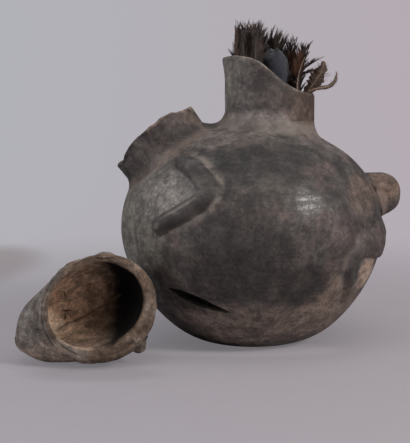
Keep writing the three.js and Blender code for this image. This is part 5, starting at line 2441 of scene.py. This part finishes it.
@dataclass(frozen=True)
class Studio:
    """The camera, the table, the backdrop and the lamps."""

    eye: Place = (-42 * MM, -850 * MM, 195 * MM)
    look_down: float = 6.014
    focus: float = 944.444
    long_side: int = 443
    sensor: float = 36.0
    table: Colour = srgb(158, 152, 156)
    backdrop_left: Colour = srgb(177, 178, 184)
    backdrop_right: Colour = srgb(180, 171, 177)
    table_radius: float = 3.0
    backdrop_height: float = 2.4
    flat_share: float = 0.45
    room: Colour = srgb(226, 226, 236)
    room_strength: float = 0.52

    def camera(self) -> None:
        """Sets up the camera at the photograph's view."""
        data = bpy.data.cameras.new("camera")
        data.sensor_width = self.sensor
        data.lens = self.focus / self.long_side * self.sensor
        data.clip_start = 0.01
        camera = bpy.data.objects.new("camera", data)
        camera.location = self.eye
        camera.rotation_euler = (math.radians(90 - self.look_down), 0, 0)
        bpy.context.scene.collection.objects.link(camera)
        bpy.context.scene.camera = camera

    def table_material(self, groups: Groups) -> Material:
        """Builds the pale table: matt near the vessel under painted shade and light and a painted glow that
        lifts its shadows, and the backdrop's colour far from it.

        Args:
            groups: the effects to use.

        Returns:
            The material.
        """
        material, tree, shader = new_material("table")
        vector = tree.own_place()
        grain = tree.spread(tree.noise(vector, 30 * MM, 5), 0.4, 0.6, (0, 0.10))
        colour = tree.mixed(grain, self.table, dimmed(self.table, 0.86))
        colour = groups.covered(tree, vector, colour, TABLE_PAINTED_SHADE_AND_LIGHT)
        tree.feed(shader, {"Base Color": colour, "Roughness": 0.8, "Specular IOR Level": 0.25})
        across = tree.spread(tree.parts(vector)[0], -0.9, 0.9)
        glow = tree.mixed(across, self.backdrop_left, self.backdrop_right)
        glow = groups.covered(tree, vector, glow, FAR_SHADOW)
        backdrop_and_painted_glow = tree.add("Emission", {"Color": glow, "Strength": 1.0})
        camera = tree.add("LightPath").outputs["Is Camera Ray"]
        # Painted light: near the vessel a third of what the camera sees is the glow, which lifts the table's
        # shadows; far off it is all backdrop
        share = tree.times(tree.spread(tree.length(vector), 0.18, 0.85, (0.32, 1)), camera)
        mix = tree.add("MixShader", {0: share, 1: shader.outputs[0], 2: backdrop_and_painted_glow.outputs[0]})
        tree.feed(material.node_tree.nodes["Material Output"], {"Surface": mix.outputs[0]})
        return material

    def ground(self, groups: Groups) -> None:
        """Lays the table: a disc that curves up at its far edge into a round backdrop.

        Its height is 0 out to 0.45 of its radius, then rises as the cube of the rest of the way.

        Args:
            groups: the effects that its material uses.
        """
        share = np.linspace(0.002, 1, 60)[:, None]
        height = self.backdrop_height * np.clip((share - self.flat_share) / (1 - self.flat_share), 0, 1) ** 3
        piece = mesh_object("table", open_surface(turned(self.table_radius * share, turns(96), height)))
        piece.data.polygons.foreach_set("use_smooth", np.ones(len(piece.data.polygons), bool))
        piece.data.materials.append(self.table_material(groups))

    def world(self) -> None:
        """Fills the room with soft light."""
        world = bpy.data.worlds.new("room")
        bpy.context.scene.world = world
        world.use_nodes = True
        background = world.node_tree.nodes["Background"]
        background.inputs["Color"].default_value = (*self.room, 1)
        background.inputs["Strength"].default_value = self.room_strength

    def build(self, groups: Groups) -> None:
        """Sets up everything that isn't part of the object.

        Args:
            groups: the effects that the table uses.
        """
        bpy.context.scene.view_settings.view_transform = "Standard"
        self.camera()
        self.ground(groups)
        self.world()
        for lamp in LAMPS:
            lamp.build()


FORELEG = (
    (226, 0.684, 9.2), (236, 0.632, 9.2), (244, 0.547, 9), (248, 0.453, 8.8),
    (246.6, 0.373, 8.6), (240.6, 0.284, 8.3), (233, 0.2, 8.1), (225, 0.109, 8),
)
HINDLEG = (
    (354, -0.04, 26), (351, -0.045, 42), (346, -0.045, 46), (337, -0.04, 36), (327, -0.045, 22),
    (318.5, -0.075, 13), (315, -0.163, 10), (315, -0.286, 10), (318.5, -0.418, 10), (321, -0.531, 10),
)

# Feathers that hook over another way than the rest
LEANS = (
    (("outer_13", "middle_9", "inner_6", "core_3"), (0.75, -0.25, 0.0)),
    (("outer_6", "middle_4", "inner_3", "core_2", "inner_4", "middle_5", "outer_7"), (0.60, -0.05, 0.05)),
    (("outer_9", "outer_10", "outer_11", "middle_7"), (0.15, -0.05, 0.05)),
)

# Shaft radii of the feathers with a thick quill
QUILLS = {"feather_outer_1": 1.5 * MM, "feather_middle_1": 1.3 * MM}

STRAY_QUILLS = (
    StrayQuill(
        "stray_quill_1",
        ((42, -14, 212), (47, -18, 220), (52.5, -21, 223.2), (59, -23, 224.5), (65.5, -25, 225.8),
         (70.3, -27, 230.5), (71.6, -28, 238)),
        (0.0, 0.3, 0.8, 1.6, 1.9, 1.5, 0.2), (0.9, 0.3), (0.2, -1, 0.3), 301),
    StrayQuill(
        "stray_quill_2",
        ((45, -3, 212), (48.5, -6, 221), (53, -9, 228), (57.5, -11, 234.5), (60.5, -12, 239.5),
         (62.2, -13, 248)),
        (0.5, 3.6, 6.0, 6.6, 4.6, 0.7), (0.7, 0.3), (0.1, -1, 0.15), 303),
)


def build_clay(groups: Groups) -> Neck:
    """Builds the pot and the head, which are fired clay.

    Args:
        groups: the effects that their clays use.

    Returns:
        The neck, which the stopper stands in.
    """
    grey = ClayFinish(
        "smoked clay", srgb(80, 73, 69), srgb(56, 51, 48), srgb(88, 73, 68), srgb(72, 72, 66),
        srgb(122, 112, 103), srgb(64, 56, 50), srgb(40, 36, 33), patches=POT_PATCHES_AND_PAINTED_LIGHT, polished=BURNISHED)
    brown = ClayFinish(
        "brown clay", srgb(80, 71, 66), srgb(56, 50, 47), srgb(96, 78, 70), srgb(72, 69, 64),
        srgb(118, 102, 92), srgb(60, 52, 46), srgb(38, 34, 31), strokes=0.0, relief=0.5 * MM,
        rough=(0.6, 0.75), patches=COLLAR_PATCHES)
    pale = ClayFinish(
        "raw tan clay", srgb(134, 125, 118), srgb(104, 97, 91), srgb(138, 119, 104), srgb(122, 119, 110),
        srgb(106, 88, 73), srgb(208, 184, 160), srgb(172, 147, 124), strokes=0.2, relief=0.6 * MM,
        rough=(0.66, 0.8), specular=0.2, patches=HEAD_PATCHES, inner_patches_and_painted_light=HOLLOW_PAINTED_LIGHT_AND_SPECKS)
    grey_dress = Dress(grey.material(groups), Body.POT, Slot.GREY_CLAY)
    brown_dress = Dress(brown.material(groups), Body.POT, Slot.BROWN_CLAY)
    wall = Wall()
    neck, socket = Neck(wall), Socket(wall)
    foreleg_margin = ((0, 0.3), (0.12, 0.9), (0.45, 0.9), (0.6, 0.45), (0.8, 0.3), (1, 0.5))
    hindleg_margin = ((0, 0), (0.5, 0), (0.62, 0.5), (1, 0.5))
    foreleg = Limb(
        wall, "front_limb", "foreleg", FORELEG, relief=5.8 * MM, crisp_side=-1, margin=foreleg_margin,
        flat=2.8, crest_highlight_and_spot=1.0, soot=0.9)
    hindleg = Limb(
        wall, "rear_limb", "hindleg", HINDLEG, relief=3.6 * MM, crisp_side=1, margin=hindleg_margin,
        flat=5.0, crest_highlight_and_spot=0.0, soot=0.35)
    limbs = (foreleg, foreleg.mirrored(), hindleg, hindleg.mirrored())
    Globe(wall).build(neck, socket, limbs, grey_dress)
    neck.build(socket, grey_dress)
    socket.build(brown_dress)
    for limb in limbs:
        limb.build(grey_dress)
    Tail(wall).build(brown_dress)
    Head().build(Dress(pale.material(groups), Body.HEAD, Slot.PALE_CLAY))
    return neck


def build_stopper(groups: Groups, neck: Neck) -> None:
    """Builds the cloth, the feathers and the stray quills.

    Args:
        groups: the effects that their materials use.
        neck: the neck that they stand in.
    """
    cotton = ClothFinish("blue cotton", srgb(28, 30, 39), srgb(43, 45, 56), srgb(62, 58, 57), 0.55 * MM)
    finishes = {
        Slot.DARK_FEATHER: FeatherFinish(
            "dark feather", srgb(52, 43, 39), srgb(84, 67, 57), srgb(130, 112, 98), PAINTED_GLINTS),
        Slot.BROWN_FEATHER: FeatherFinish(
            "brown feather", srgb(57, 46, 40), srgb(96, 77, 64), srgb(160, 136, 116), PAINTED_GLINTS)}
    dresses = {slot: Dress(finish.material(groups), Body.STOPPER, slot) for slot, finish in finishes.items()}
    Cloth(neck).build(Dress(cotton.material(groups), Body.STOPPER, Slot.BLUE_CLOTH))
    slots = {row["node"]: Slot(row["material_slot"]) for row in frame["record"]["subparts"]}
    for seed, name in enumerate(sorted(name for name in frame["nodes"] if name.startswith("feather_"))):
        feather = Feather(name, 200 + seed, neck.x, QUILLS.get(name, 0.5 * MM))
        for names, lean in LEANS:
            if name.removeprefix("feather_") in names:
                feather = replace(feather, lean=lean)
        feather.build(dresses[slots[name]])
    for quill in STRAY_QUILLS:
        quill.build(dresses[Slot.BROWN_FEATHER])


def main() -> None:
    """Builds the studio and the object, piece by piece."""
    groups = Groups.build()
    Studio().build(groups)
    neck = build_clay(groups)
    build_stopper(groups, neck)


if __name__ == "__main__":
    logging.basicConfig(level=logging.INFO, format="%(message)s")
    main()
